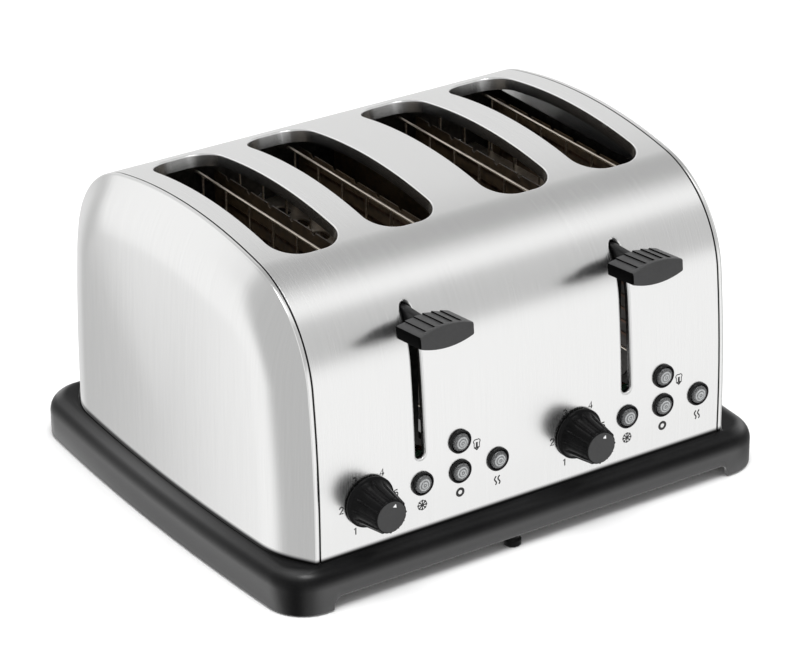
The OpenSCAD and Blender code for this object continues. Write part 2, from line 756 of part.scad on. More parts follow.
// Electromagnet under the carriage's armature: foot, winding and core
module hold_magnet(s) {
  foot = [18, 15, 2];
  foot_z = seat_z + fold_t;
  core_top = bar_low - lift - 0.5;
  coil_z = foot_z + foot.z;
  color([0.60, 0.36, 0.18]) translate([s + magnet_dx, -plate_face, 0]) {
    bar([-foot.x / 2, -foot.y, foot_z], [foot.x / 2, 0, coil_z]);
    translate([0, -foot.y / 2, coil_z]) cylinder(h = core_top - coil_z - 2, r = 6.5);
    translate([0, -foot.y / 2, coil_z]) cylinder(h = core_top - coil_z, r = 3);
  }
}

// Three-pole block where the mains lead ends
module terminal_block() {
  block = [42, 16, 16];
  pole_pitch = 13;
  entry = 9;
  screw = 2.2;
  y0 = plate_face + 11;
  color([0.85, 0.83, 0.76]) difference() {
    bar([-block.x / 2, y0, seat_z], [block.x / 2, y0 + block.y, seat_z + block.z]);
    for (k = [-1 : 1]) {
      translate([k * pole_pitch - entry / 2, y0 + block.y / 2, seat_z + 5]) cube(entry);
      translate([k * pole_pitch, y0 + block.y / 4, seat_z + block.z / 2]) cylinder(h = block.z, r = screw);
    }
  }
}

// Grommet in the rear wall where the lead comes out
module cord_gland() {
  flange_r = 9;
  nose = 7;
  nose_r = 5.4;
  color(black) translate([0, half_d + seat_gap, gland_z]) rotate([-90, 0, 0])
    rotate_extrude() polygon([[gland_bore_r, -5], [gland_neck_r, -5], [gland_neck_r, 0], [flange_r, 0],
                              [flange_r, 2], [nose_r + 1.6, nose / 2], [nose_r, nose], [gland_bore_r, nose]]);
}

// Pan-headed screws that hold the bottom plate to its posts
module bottom_screws() {
  head_r = 3;
  head = 2;
  edge = 1;
  color(steel) for (c = CORNERS) translate([c.x * post_x, c.y * post_y, plate_z])
    rotate_extrude() polygon([[0, -head], [head_r - edge, -head], [head_r, -edge], [head_r, 0],
                              [screw_r, 0], [screw_r, screw_len], [0, screw_len]]);
}

// Lens-shaped finger pad with plank grooves on its top and a socket for the arm
module lever_pad(s) {
  rise = (pad_h - pad_end_h) / 2;
  r = (pad_w * pad_w / 4 + rise * rise) / (2 * rise);
  planks = 6;
  groove = 0.9;
  socket = [arm_t / 2 + running, arm_h / 2 + running];
  color(charcoal) difference() {
    translate([s, -lever_front, lever_z + pad_lift]) rotate([-pad_slope, 0, 0]) difference() {
      along_y(0, pad_len - 1) intersection() {
        square([pad_w, 2 * pad_h], center = true);
        translate([0, pad_h / 2 - r]) circle(r, $fn = 96);
        translate([0, r - pad_h / 2]) circle(r, $fn = 96);
      }
      for (k = [1 : planks - 1]) {
        x = (k / planks - 0.5) * pad_w;
        z = sqrt(r * r - x * x) - r + pad_h / 2;
        translate([x, 0, z]) rotate([0, 45, 0]) cube([groove, 3 * pad_len, groove], center = true);
      }
    }
    bar([s - socket.x, -lever_front + pad_nose, lever_z - socket.y], [s + socket.x, 0, lever_z + socket.y]);
  }
}

// Carriage: a bush on the guide rod, a cross bar behind it, the arm through the wrap and the armature
module carriage(s) {
  half = slot_pitch / 2 + 5;
  web = 4;
  armature_x = s + magnet_dx - armature_w / 2;
  color(dark_steel) difference() {
    union() {
      translate([s, -rod_y, bar_low]) cylinder(h = tab_z - clear - bar_low, r = bush_r);
      bar([s - half, -bar_y - bar_t, bar_low], [s + half, -bar_y, bar_low + bar_h]);
      bar([s - web, -rod_y, bar_low], [s + web, -bar_y, bar_low + bar_h]);
      bar([armature_x, -rod_y, bar_low], [armature_x + armature_w, -bar_y - bar_t, bar_low + bar_t]);
      bar([s - arm_t / 2, -lever_front + pad_nose + clear, lever_z - arm_h / 2],
          [s + arm_t / 2, -rod_y, lever_z + arm_h / 2]);
    }
    translate([s, -rod_y, 0]) cylinder(h = total_h, r = rod_d / 2 + running);
  }
}

// Pierced lifting rack with turned-down edges and a tongue through each chassis plate
module rack(x) {
  rack_t = 1.2;
  end_gap = 1.5;
  edge = [1, 4.8];
  hole = [12, 14, 5.5];
  pitch = (plate_y - 22) / 3;
  tongue_in = 3;
  half_len = plate_y - end_gap;
  color(steel) {
    difference() {
      bar([x - rack_w / 2, -half_len, rack_z - rack_t], [x + rack_w / 2, half_len, rack_z]);
      for (k = [-3 : 3]) translate([x, k * pitch, rack_z - 2 * rack_t])
        linear_extrude(4 * rack_t) round_rect(hole.x, hole.y, hole.z);
    }
    for (d = [-1, 1]) translate([x + d * (rack_w - edge.x) / 2, 0, rack_z - rack_t - edge.y / 2])
      cube([edge.x, 2 * half_len, edge.y], center = true);
    bar([x - tongue_w / 2, -bar_y, rack_z - tongue_h],
        [x + tongue_w / 2, -plate_y + tongue_in, rack_z]);
    bar([x - tongue_w / 2, plate_y - tongue_in, rack_z - tongue_h],
        [x + tongue_w / 2, plate_face + 4, rack_z]);
  }
}

// Coil that pushes the carriage up, wound round the guide rod
module return_spring(s) {
  q = spring_wire / 2;
  r = rod_d / 2 + 0.8 + q;
  low = seat_z + q + seat_gap;
  rise = bar_low - clear - q - low;
  steps = spring_turns * spring_rings;
  lean = atan2(rise / spring_turns, 2 * PI * r);
  function tube_point(k, m) =
    let (a = 360 * k / spring_rings, b = 360 * m / spring_sides)
    let (out = r + q * cos(b), up = q * sin(b), side = up * sin(lean))
    [out * cos(a) + side * sin(a), out * sin(a) - side * cos(a), rise * k / steps + up * cos(lean)];
  pts = [for (k = [0 : steps]) for (m = [0 : spring_sides - 1]) tube_point(k, m)];
  walls = [for (k = [0 : steps - 1]) for (m = [0 : spring_sides - 1])
    let (n = (m + 1) % spring_sides, a = k * spring_sides, b = a + spring_sides)
    each [[a + m, b + m, b + n], [a + m, b + n, a + n]]];
  ends = [[for (m = [0 : spring_sides - 1]) m],
          [for (m = [spring_sides - 1 : -1 : 0]) steps * spring_sides + m]];
  color(steel) translate([s, -rod_y, low]) polyhedron(pts, concat(walls, ends), convexity = 10);
}

// Fluted knob on its shaft, with the skirt against the wrap
module knob(s) {
  back = half_d + 2 * clear;
  r = knob_skirt_d / 2;
  f = knob_front_d / 2;
  skirt = 1.6;
  foot_r = r - 2;
  foot_z = 3;
  edge = 1;
  edge_z = knob_len - 1.2;
  flute_r = 2.1;
  flute_z = 3.4;
  lean = atan2(foot_r - f - edge, edge_z - foot_z);
  shaft = back - board_face;
  color(black) translate([s - knob_dx, -back, row_z]) rotate([90, 0, 0]) {
    difference() {
      rotate_extrude() polygon([[0, 0], [r, 0], [r, skirt], [r - 0.8, skirt + 1], [foot_r, foot_z],
                                [f + edge, edge_z], [f, knob_len], [0, knob_len]]);
      for (k = [0 : flutes - 1]) rotate([0, 0, 360 * (k + 0.5) / flutes])
        translate([foot_r + 1.4, 0, flute_z]) rotate([0, -lean, 0]) cylinder(h = 2 * knob_len, r = flute_r);
    }
    translate([0, 0, 1 - shaft]) cylinder(h = shaft, r = shaft_r);
  }
}

// Shallow steel tray with a folded pull at the rear
module crumb_tray(side) {
  back_t = 1.5;
  pull_in = 20;
  pull = [5, 1.4];
  color(steel) mirror([side < 0 ? 1 : 0, 0, 0]) {
    difference() {
      bar([tray_in, -tray_front, tray_z], [tray_out, tray_back, tray_z + tray_depth]);
      bar([tray_in + tray_wall, -tray_front + tray_wall, tray_z + tray_wall],
          [tray_out - tray_wall, tray_back - back_t, tray_z + tray_depth + 1]);
    }
    bar([tray_in + pull_in, tray_back - back_t / 2, tray_z],
        [tray_out - pull_in, tray_back + pull.x - back_t / 3, tray_z + pull.y]);
  }
}

stand() wrap_shell();
stand() end_cover(-1);  // left_end_cover
stand() end_cover(1);  // right_end_cover
stand() base_tray();
stand() bottom_plate();
stand() foot_pads();
stand() front_foot();
stand() front_chassis_plate();
stand() rear_chassis_plate();
stand() heat_shield(-1);  // left_heat_shield
stand() heat_shield(1);  // right_heat_shield
for (h = HEATERS) stand() heater_board(h[1]);
stand() heater_ribbons(-1);  // left_heater_ribbons
stand() heater_ribbons(1);  // right_heater_ribbons
for (k = [0 : 3]) {
  stand() bread_guides(SLOT_X[k]);
  stand() rack(SLOT_X[k]);
}
for (k = [0, 1]) {
  stand() button_bezels(SIDES[k]);
  stand() guide_rod(SIDES[k]);
  stand() control_board(SIDES[k]);
  stand() browning_pot(SIDES[k]);
  stand() hold_magnet(SIDES[k]);
  stand() lever_pad(SIDES[k]);
  stand() carriage(SIDES[k]);
  stand() return_spring(SIDES[k]);
  stand() knob(SIDES[k]);
  stand() crumb_tray(2 * k - 1);
  for (b = BUTTONS)
    stand() push_button(SIDES[k], b);
}
stand() terminal_block();
stand() cord_gland();
stand() bottom_screws();
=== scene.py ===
"""Looks of a four-slot toaster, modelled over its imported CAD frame."""

import json
import logging
import math
from collections.abc import Callable, Iterable, Sequence
from dataclasses import dataclass
from enum import Enum

import bmesh
import bpy
from bmesh.types import BMEdge, BMesh, BMVert
from mathutils import Matrix, Vector

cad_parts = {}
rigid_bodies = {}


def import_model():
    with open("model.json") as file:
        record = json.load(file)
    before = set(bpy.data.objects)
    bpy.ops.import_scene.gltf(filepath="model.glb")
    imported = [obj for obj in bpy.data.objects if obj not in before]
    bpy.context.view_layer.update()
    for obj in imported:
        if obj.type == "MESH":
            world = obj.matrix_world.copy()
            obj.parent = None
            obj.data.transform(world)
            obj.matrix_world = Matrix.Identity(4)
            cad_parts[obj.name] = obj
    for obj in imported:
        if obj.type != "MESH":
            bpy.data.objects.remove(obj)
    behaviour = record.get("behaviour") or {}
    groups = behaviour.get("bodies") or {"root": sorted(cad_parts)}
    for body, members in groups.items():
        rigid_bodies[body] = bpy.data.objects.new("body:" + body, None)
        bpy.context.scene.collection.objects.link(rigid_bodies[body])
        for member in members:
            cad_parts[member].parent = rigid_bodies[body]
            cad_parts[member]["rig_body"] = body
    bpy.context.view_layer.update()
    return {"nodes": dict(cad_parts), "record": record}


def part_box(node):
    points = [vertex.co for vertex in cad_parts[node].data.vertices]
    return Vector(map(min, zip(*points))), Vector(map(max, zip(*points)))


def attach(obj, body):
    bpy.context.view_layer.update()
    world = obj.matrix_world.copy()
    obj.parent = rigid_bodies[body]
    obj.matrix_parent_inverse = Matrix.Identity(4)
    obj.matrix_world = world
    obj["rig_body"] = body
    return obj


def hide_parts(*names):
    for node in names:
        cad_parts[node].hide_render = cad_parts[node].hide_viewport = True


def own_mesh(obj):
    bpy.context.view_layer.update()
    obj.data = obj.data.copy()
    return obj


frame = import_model()
LOG = logging.getLogger("toaster")
MM = 0.001
FRAME_Y = (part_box("base_tray")[0].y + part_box("base_tray")[1].y) / 2 / MM
UP = Vector((0.0, 0.0, 1.0))
DEGREES = 180.0 / math.pi

Colour = tuple[float, float, float, float]
# Radius and depth of a rolled edge, and the painted shade at its foot: the share of colour left there, as
# shade down inside the hole.
Roll = tuple[float, float, float]
Point = tuple[float, float]


class Side(Enum):
    """The two like halves of the toaster."""

    LEFT = "left"
    RIGHT = "right"

    @property
    def sign(self) -> int:
        """Which way the half lies along X."""
        return -1 if self is Side.LEFT else 1


class Button(Enum):
    """The push buttons of one half."""

    DEFROST = "defrost"
    BAGEL = "bagel"
    REHEAT = "reheat"
    CANCEL = "cancel"


class Signal:
    """A value in a shader graph, with the arithmetic that adds Math nodes."""

    def __init__(self, graph: "Graph", node: bpy.types.Node, output: int | str) -> None:
        """Keeps the graph and the socket that carries the value."""
        self.graph = graph
        self.socket = node.outputs[output]

    def __add__(self, other: "Signal | float") -> "Signal":
        """Sum."""
        return self.graph.math("ADD", self, other)

    def __radd__(self, other: float) -> "Signal":
        """Sum with a number on the left."""
        return self.graph.math("ADD", other, self)

    def __sub__(self, other: "Signal | float") -> "Signal":
        """Difference."""
        return self.graph.math("SUBTRACT", self, other)

    def __rsub__(self, other: float) -> "Signal":
        """Difference with a number on the left."""
        return self.graph.math("SUBTRACT", other, self)

    def __mul__(self, other: "Signal | float") -> "Signal":
        """Product."""
        return self.graph.math("MULTIPLY", self, other)

    def __rmul__(self, other: float) -> "Signal":
        """Product with a number on the left."""
        return self.graph.math("MULTIPLY", other, self)

    def __neg__(self) -> "Signal":
        """Opposite value."""
        return self.graph.math("MULTIPLY", self, -1.0)


Feed = Signal | float | Sequence[float]


class Graph:
    """A node tree that is written as expressions."""

    def __init__(self, tree: bpy.types.NodeTree) -> None:
        """Empties the tree.

        Args:
            tree: the node tree of a material or world.
        """
        self.tree = tree
        tree.nodes.clear()

    def node(
        self,
        kind: str,
        settings: dict | None = None,
        inputs: dict[int | str, Feed] | None = None,
        output: int | str = 0,
    ) -> Signal | None:
        """Adds one node.

        Args:
            kind: the node's type.
            settings: its own settings.
            inputs: values or links of its sockets.
            output: the socket that is handed on.

        Returns:
            The chosen output, or None for a node that ends the graph.
        """
        made = self.tree.nodes.new(kind)
        for key, value in (settings or {}).items():
            setattr(made, key, value)
        for key, value in (inputs or {}).items():
            if isinstance(value, Signal):
                self.tree.links.new(value.socket, made.inputs[key])
            else:
                made.inputs[key].default_value = value
        if not len(made.outputs):
            return None
        return Signal(self, made, output)

    def math(self, operation: str, first: Feed, second: Feed = 0.0) -> Signal:
        """One Math node."""
        return self.node("ShaderNodeMath", {"operation": operation}, {0: first, 1: second})

    def mix(self, factor: Feed, first: Feed, second: Feed) -> Signal:
        """Mixes two colours."""
        return self.node("ShaderNodeMix", {"data_type": "RGBA"}, {0: factor, 6: first, 7: second}, 2)

    def fade(self, value: Signal, low: float, high: float) -> Signal:
        """A smooth step from 0 at low to 1 at high."""
        inputs = {"Value": value, "From Min": low, "From Max": high}
        return self.node("ShaderNodeMapRange", {"interpolation_type": "SMOOTHSTEP"}, inputs)

    def noise(self, stretch: Sequence[float], detail: float = 2.0) -> Signal:
        """Noise on Object coordinates.

        Args:
            stretch: features in a metre along X, Y and Z.
            detail: octaves.

        Returns:
            The noise's value.
        """
        place = self.node("ShaderNodeTexCoord", output="Object")
        grain = self.node("ShaderNodeMapping", inputs={"Vector": place, "Scale": stretch})
        inputs = {"Vector": grain, "Scale": 1.0, "Detail": detail, "Roughness": 0.55}
        return self.node("ShaderNodeTexNoise", inputs=inputs)

    def bump(self, height: Signal, strength: float, distance: float) -> Signal:
        """A Bump node from a height."""
        inputs = {"Height": height, "Strength": strength, "Distance": distance}
        return self.node("ShaderNodeBump", inputs=inputs)


@dataclass(frozen=True)
class Finish:
    """What every finish shares: a name, two tones and a roughness."""

    name: str
    slot: str
    dark: Colour
    light: Colour
    roughness: float

    def material(self) -> bpy.types.Material:
        """The finish's material, made on first use."""
        found = bpy.data.materials.get(self.name)
        if found:
            return found
        made = bpy.data.materials.new(self.name)
        made.use_nodes = True
        graph = Graph(made.node_tree)
        shader = graph.node("ShaderNodeBsdfPrincipled", inputs=self.sockets(graph))
        graph.node("ShaderNodeOutputMaterial", inputs={"Surface": shader})
        return made

    def sockets(self, graph: Graph) -> dict[str, Feed]:
        """The shader's sockets.

        Args:
            graph: the material's graph.

        Returns:
            Values and links by socket name.
        """
        cloud = graph.noise((40.0, 40.0, 40.0), 3.0)
        return {"Base Color": graph.mix(cloud, self.dark, self.light), "Roughness": self.roughness}


@dataclass(frozen=True)
class BrushedSteel(Finish):
    """Sheet steel with fine lines in one direction."""

    lines: tuple[float, float, float] = (1500.0, 9.0, 9.0)
    depth: float = 0.00004
    strength: float = 0.25
    # seam_shade: the shade attribute paints shade into the colour in seam gaps and down rolled rims
    seam_shade: bool = False
    # foot: height in metres below which the colour is painted near-black, as shade where the body stands in
    # the base's recess; 0 for none
    foot: float = 0.0

    def sockets(self, graph: Graph) -> dict[str, Feed]:
        """Lines in tone, gloss and height, and painted shade down in gaps and at the foot."""
        streak = graph.noise(self.lines, 3.0)
        hair = graph.noise([v * 3.3 for v in self.lines], 1.0)
        cloud = graph.noise((7.0, 7.0, 7.0), 2.0)
        brush = streak * 0.65 + hair * 0.35
        colour = graph.mix(graph.fade(brush, 0.3, 0.7), self.dark, self.light)
        if self.seam_shade:
            # painted shade: near-black where the shade attribute is low
            shade = graph.node("ShaderNodeAttribute", {"attribute_name": "shade"}, output="Fac")
            colour = graph.mix(shade, (0.012, 0.012, 0.013, 1.0), colour)
        if self.foot:
            # painted shade at the foot, in the gap above the base's recess
            place = graph.node("ShaderNodeTexCoord", output="Object")
            height = graph.node("ShaderNodeSeparateXYZ", inputs={0: place}, output=2)
            above = graph.fade(height, self.foot, self.foot + 0.003)
            colour = graph.mix(above, (0.004, 0.004, 0.004, 1.0), colour)
        rough = self.roughness + (brush - 0.5) * 0.1 + (cloud - 0.5) * 0.04
        return {
            "Base Color": colour,
            "Metallic": 1.0,
            "Roughness": rough,
            "Normal": graph.bump(brush, self.strength, self.depth),
        }


@dataclass(frozen=True)
class MouldedPlastic(Finish):
    """Plastic with a fine moulded grain."""

    grain: float = 1900.0
    depth: float = 0.00006
    strength: float = 0.3
    coat: float = 0.0
    specular: float = 0.5
    # Whether a vertex attribute raises the coat and paints a lighter sheen into the colour, as painted
    # highlights.
    uses_painted_sheen: bool = False

    def sockets(self, graph: Graph) -> dict[str, Feed]:
        """Grain in height and gloss, slow drift of tone, and, by a vertex attribute, more coat and a painted
        sheen that lightens the colour.
        """
        grain = graph.noise((self.grain, self.grain, self.grain), 2.0)
        drift = graph.noise((26.0, 26.0, 26.0), 3.0)
        speck = graph.noise((620.0, 620.0, 620.0), 2.0)
        tone = drift * 0.7 + speck * 0.3
        colour = graph.mix(graph.fade(tone, 0.3, 0.7), self.dark, self.light)
        coat = self.coat
        if self.uses_painted_sheen:
            # painted sheen: lighter colour where highlights fall, together with more coat
            gloss_and_painted_sheen = graph.node("ShaderNodeAttribute", {"attribute_name": "gloss_and_painted_sheen"}, output="Fac")
            colour = graph.mix(gloss_and_painted_sheen, colour, (0.026, 0.026, 0.0265, 1.0))
            coat = gloss_and_painted_sheen * self.coat
        return {
            "Base Color": colour,
            "Roughness": self.roughness + (grain - 0.5) * 0.18 + (drift - 0.5) * 0.08,
            "Specular IOR Level": self.specular,
            "Coat Weight": coat,
            "Coat Roughness": 0.22 if self.uses_painted_sheen else 0.08,
            "Coat IOR": 1.65 if self.uses_painted_sheen else 1.5,
            "Normal": graph.bump(grain, self.strength, self.depth),
        }


@dataclass(frozen=True)
class LensPlastic(Finish):
    """Milky clear plastic with rings round its middle, which the ring attribute counts."""

    rings: float = 3.4

    def sockets(self, graph: Graph) -> dict[str, Feed]:
        """Rings in tone and gloss."""
        ring = graph.node("ShaderNodeAttribute", {"attribute_name": "ring"}, output="Fac")
        wave = graph.math("COSINE", ring * (self.rings * 2.0 * math.pi)) * 0.5 + 0.5
        mist = graph.noise((900.0, 900.0, 900.0), 2.0)
        speck = graph.fade(graph.noise((2400.0, 2400.0, 2400.0), 2.0), 0.4, 0.7)
        tone = graph.fade(wave * 0.45 + mist * 0.6, 0.15, 0.95)
        disc = graph.mix(tone, self.dark, self.light)
        outer = graph.mix(speck, (0.01, 0.01, 0.0105, 1.0), (0.16, 0.165, 0.17, 1.0))
        return {
            "Base Color": graph.mix(graph.fade(ring, 0.58, 0.78), disc, outer),
            "Roughness": self.roughness + mist * 0.1,
            "Coat Weight": 0.8,
            "Coat Roughness": 0.05,
            "IOR": 1.5,
            "Normal": graph.bump(tone, 0.2, 0.0002),
        }


@dataclass(frozen=True)
class FleckedSheet(Finish):
    """Sheet with small flecks, such as mica or a coated board."""

    fleck: float = 260.0
    metallic: float = 0.0

    def sockets(self, graph: Graph) -> dict[str, Feed]:
        """Flecks in tone, gloss and height."""
        place = graph.node("ShaderNodeTexCoord", output="Object")
        inputs = {"Vector": place, "Scale": self.fleck}
        cell = graph.node("ShaderNodeTexVoronoi", inputs=inputs, output="Distance")
        drift = graph.noise((30.0, 30.0, 30.0), 4.0)
        tone = graph.fade(cell * 0.6 + drift * 0.6, 0.3, 0.85)
        return {
            "Base Color": graph.mix(tone, self.dark, self.light),
            "Roughness": self.roughness + (cell - 0.4) * 0.2,
            "Metallic": self.metallic,
            "Normal": graph.bump(cell, 0.2, 0.0002),
        }


WRAP = BrushedSteel(
    "brushed_wrap", "wrap_steel", (0.845, 0.845, 0.84, 1), (0.89, 0.89, 0.885, 1), 0.26,
    lines=(3200.0, 16.0, 16.0), depth=0.00002, strength=0.07, seam_shade=True, foot=0.0266,
)
COVER = BrushedSteel(
    "satin_cover", "cover_steel", (0.82, 0.82, 0.815, 1), (0.86, 0.86, 0.855, 1), 0.18,
    lines=(20.0, 1600.0, 20.0), depth=0.00001, strength=0.06, seam_shade=True, foot=0.0266,
)
# Crumb trays: their own steel, darkened as painted shade inside the body.
TRAY = BrushedSteel(
    "tray_sheet", "tray_steel", (0.2, 0.2, 0.198, 1), (0.28, 0.28, 0.278, 1), 0.42,
    lines=(12.0, 700.0, 12.0),
)
# Painted shade: the chassis plates inside the body are near-black, standing in for the shade there.
CHASSIS_IN_SHADE = BrushedSteel(
    "chassis_sheet_painted_shade", "chassis_steel", (0.025, 0.024, 0.023, 1), (0.06, 0.058, 0.055, 1), 0.45,
    lines=(160.0, 160.0, 160.0), strength=0.15,
)
WIRE = BrushedSteel(
    "drawn_wire", "bright_steel", (0.55, 0.49, 0.42, 1), (0.85, 0.78, 0.68, 1), 0.3,
    lines=(60.0, 60.0, 900.0),
)
# Painted shade: guide rods and return springs are near-black, standing in for the shade behind the lever
# slots.
ROD_IN_SHADE = BrushedSteel(
    "rod_painted_shade", "bright_steel", (0.02, 0.02, 0.021, 1), (0.045, 0.044, 0.043, 1), 0.45,
    lines=(80.0, 80.0, 900.0),
)
# Base: coat gloss and a painted lighter sheen follow a vertex attribute, as painted highlights on its rim
# and lower walls.
BASE = MouldedPlastic(
    "satin_base", "base_plastic", (0.004, 0.004, 0.0042, 1), (0.008, 0.008, 0.0083, 1), 0.34, specular=0.06,
    coat=1.0, uses_painted_sheen=True,
)
ARM = MouldedPlastic(
    "satin_arm", "lever_plastic", (0.004, 0.004, 0.0042, 1), (0.008, 0.008, 0.0083, 1), 0.32, specular=0.28
)
PAD = MouldedPlastic(
    "lever_grain", "lever_plastic", (0.028, 0.028, 0.0285, 1), (0.038, 0.038, 0.0385, 1), 0.4, specular=0.35
)
# Painted shade: both ends of each lever pad are near-black, as the shade on faces turned from the light.
PAD_END_SHADE = MouldedPlastic(
    "lever_end_painted_shade", "lever_plastic", (0.0008, 0.0008, 0.0008, 1), (0.002, 0.002, 0.002, 1), 0.4, specular=0.01
)
KNOB = MouldedPlastic(
    "knob_gloss", "knob_plastic", (0.0025, 0.0025, 0.0026, 1), (0.005, 0.005, 0.0052, 1), 0.22,
    depth=0.00002, strength=0.12, specular=0.09,
)
KNOB_FACE = MouldedPlastic(
    "knob_face", "knob_plastic", (0.03, 0.03, 0.0305, 1), (0.04, 0.04, 0.0405, 1), 0.42, specular=0.35
)
BEZEL = MouldedPlastic(
    "bezel_gloss", "bezel_plastic", (0.002, 0.002, 0.0021, 1), (0.004, 0.004, 0.0042, 1), 0.14,
    depth=0.00001, strength=0.08, specular=0.25,
)
CAP = LensPlastic("button_lens", "button_plastic", (0.1, 0.103, 0.105, 1), (0.5, 0.515, 0.52, 1), 0.2)
RUBBER = MouldedPlastic("foot_rubber", "rubber", (0.012, 0.012, 0.012, 1), (0.022, 0.022, 0.022, 1), 0.75)
INK = MouldedPlastic(
    "printed_ink", "bezel_plastic", (0.006, 0.006, 0.006, 1), (0.014, 0.014, 0.014, 1), 0.45, strength=0.1
)
WHITE_INK = MouldedPlastic(
    "pointer_ink", "button_plastic", (0.72, 0.72, 0.72, 1), (0.82, 0.82, 0.82, 1), 0.45, strength=0.1
)
# Mica: its own brown, darkened as painted shade inside the slots.
MICA = FleckedSheet("mica_sheet", "mica", (0.02, 0.013, 0.007, 1), (0.06, 0.04, 0.022, 1), 0.45)
RIBBON = FleckedSheet(
    "tinted_ribbon", "heater_ribbon", (0.05, 0.03, 0.022, 1), (0.14, 0.085, 0.06, 1), 0.4, metallic=1.0
)
BOARD = FleckedSheet(
    "masked_board", "circuit_board", (0.012, 0.05, 0.022, 1), (0.03, 0.1, 0.05, 1), 0.35, fleck=420.0
)
POT = BrushedSteel(
    "plated_case", "pot_metal", (0.3, 0.3, 0.3, 1), (0.45, 0.45, 0.45, 1), 0.35, lines=(300.0, 300.0, 300.0)
)
WINDING = BrushedSteel(
    "enamel_winding", "copper_winding", (0.35, 0.13, 0.05, 1), (0.62, 0.27, 0.11, 1), 0.32,
    lines=(30.0, 30.0, 2200.0),
)
IVORY = MouldedPlastic("ivory_block", "ivory_plastic", (0.6, 0.57, 0.48, 1), (0.7, 0.67, 0.58, 1), 0.4)

# Strokes of the numbers 1 to 6, about a middle and one high.
DIGITS: tuple[tuple[Point, ...], ...] = (
    ((-0.2, 0.26), (0.04, 0.5), (0.04, -0.5)),
    ((-0.28, 0.24), (-0.2, 0.43), (0.0, 0.5), (0.2, 0.43), (0.27, 0.24), (0.18, 0.04),
     (-0.28, -0.46), (0.3, -0.46)),
    ((-0.27, 0.32), (-0.15, 0.46), (0.03, 0.5), (0.2, 0.42), (0.25, 0.26), (0.17, 0.09), (-0.04, 0.03),
     (0.19, -0.04), (0.28, -0.22), (0.2, -0.42), (0.0, -0.5), (-0.18, -0.45), (-0.29, -0.3)),
    ((0.14, -0.5), (0.14, 0.5), (-0.3, -0.2), (0.34, -0.2)),
    ((0.24, 0.47), (-0.2, 0.47), (-0.25, 0.04), (-0.05, 0.13), (0.14, 0.1), (0.27, -0.06), (0.27, -0.26),
     (0.13, -0.45), (-0.06, -0.5), (-0.22, -0.44), (-0.3, -0.32)),
    ((0.22, 0.42), (0.06, 0.5), (-0.14, 0.42), (-0.25, 0.2), (-0.27, -0.14), (-0.2, -0.38), (0.0, -0.5),
     (0.18, -0.42), (0.27, -0.22), (0.2, -0.02), (0.02, 0.08), (-0.16, 0.0), (-0.26, -0.16)),
)


def ends(edges: Iterable[BMEdge]) -> list[BMVert]:
    """The points of a row of edges, each once and in the row's order."""
    return list(dict.fromkeys(vert for edge in edges for vert in edge.verts))


def face_out(bm: BMesh) -> None:
    """Turns the faces of a mesh outwards."""
    bmesh.ops.recalc_face_normals(bm, faces=bm.faces[:])


def bevel(bm: BMesh, geom: Sequence[BMVert | BMEdge], offset: float, segments: int, affect: str) -> None:
    """Rounds corners or edges.

    Args:
        bm: the mesh.
        geom: what is rounded.
        offset: width of the rounding.
        segments: in each one.
        affect: VERTICES or EDGES.
    """
    bmesh.ops.bevel(
        bm, geom=geom, offset=offset, offset_type="OFFSET", segments=segments,
        profile=0.5, affect=affect, material=-1, clamp_overlap=True,
    )


def slice_at(bm: BMesh, place: Sequence[float], way: Sequence[float]) -> None:
    """Cuts edges and faces along a plane without parting them."""
    geom = bm.verts[:] + bm.edges[:] + bm.faces[:]
    bmesh.ops.bisect_plane(bm, geom=geom, dist=1e-4, plane_co=place, plane_no=way)


def close_ends(bm: BMesh, first: Sequence[BMEdge], last: Sequence[BMEdge]) -> None:
    """Fills both ends of a drawn-out piece."""
    for row in (first, last):
        bmesh.ops.edgeloop_fill(bm, edges=list(row))
    face_out(bm)


def add_object(name: str, data: bpy.types.ID) -> bpy.types.Object:
    """Puts a new object into the scene."""
    made = bpy.data.objects.new(name, data)
    bpy.context.scene.collection.objects.link(made)
    return made


def draw_out(bm: BMesh, edges: Sequence[BMEdge], place: Callable[[int], Vector]) -> list[BMEdge]:
    """Extrudes a row of edges once and puts each new point in its place.

    Args:
        bm: the mesh, whose points carry their number in the layer home.
        edges: the row.
        place: gives a point's new place from its number.

    Returns:
        The new row of edges.
    """
    home = bm.verts.layers.int["home"]
    made = bmesh.ops.extrude_edge_only(bm, edges=list(edges))["geom"]
    for item in made:
        if isinstance(item, BMVert):
            item.co = place(item[home])
    return [item for item in made if isinstance(item, BMEdge)]


def chain(bm: BMesh, points: Sequence[Sequence[float]], closed: bool = False) -> list[BMVert]:
    """Draws a point along a line.

    Args:
        bm: the mesh.
        points: the places that it passes.
        closed: whether the last point is joined to the first.

    Returns:
        The points in order.
    """
    verts = [bm.verts.new(points[0])]
    for point in points[1:]:
        made = bmesh.ops.extrude_vert_indiv(bm, verts=[verts[-1]])
        made["verts"][0].co = point
        verts.append(made["verts"][0])
    if closed:
        bm.edges.new((verts[-1], verts[0]))
    return verts


def number(bm: BMesh, verts: Iterable[BMVert]) -> None:
    """Writes each point's number into the layer home."""
    home = bm.verts.layers.int.get("home") or bm.verts.layers.int.new("home")
    for index, vert in enumerate(verts):
        vert[home] = index


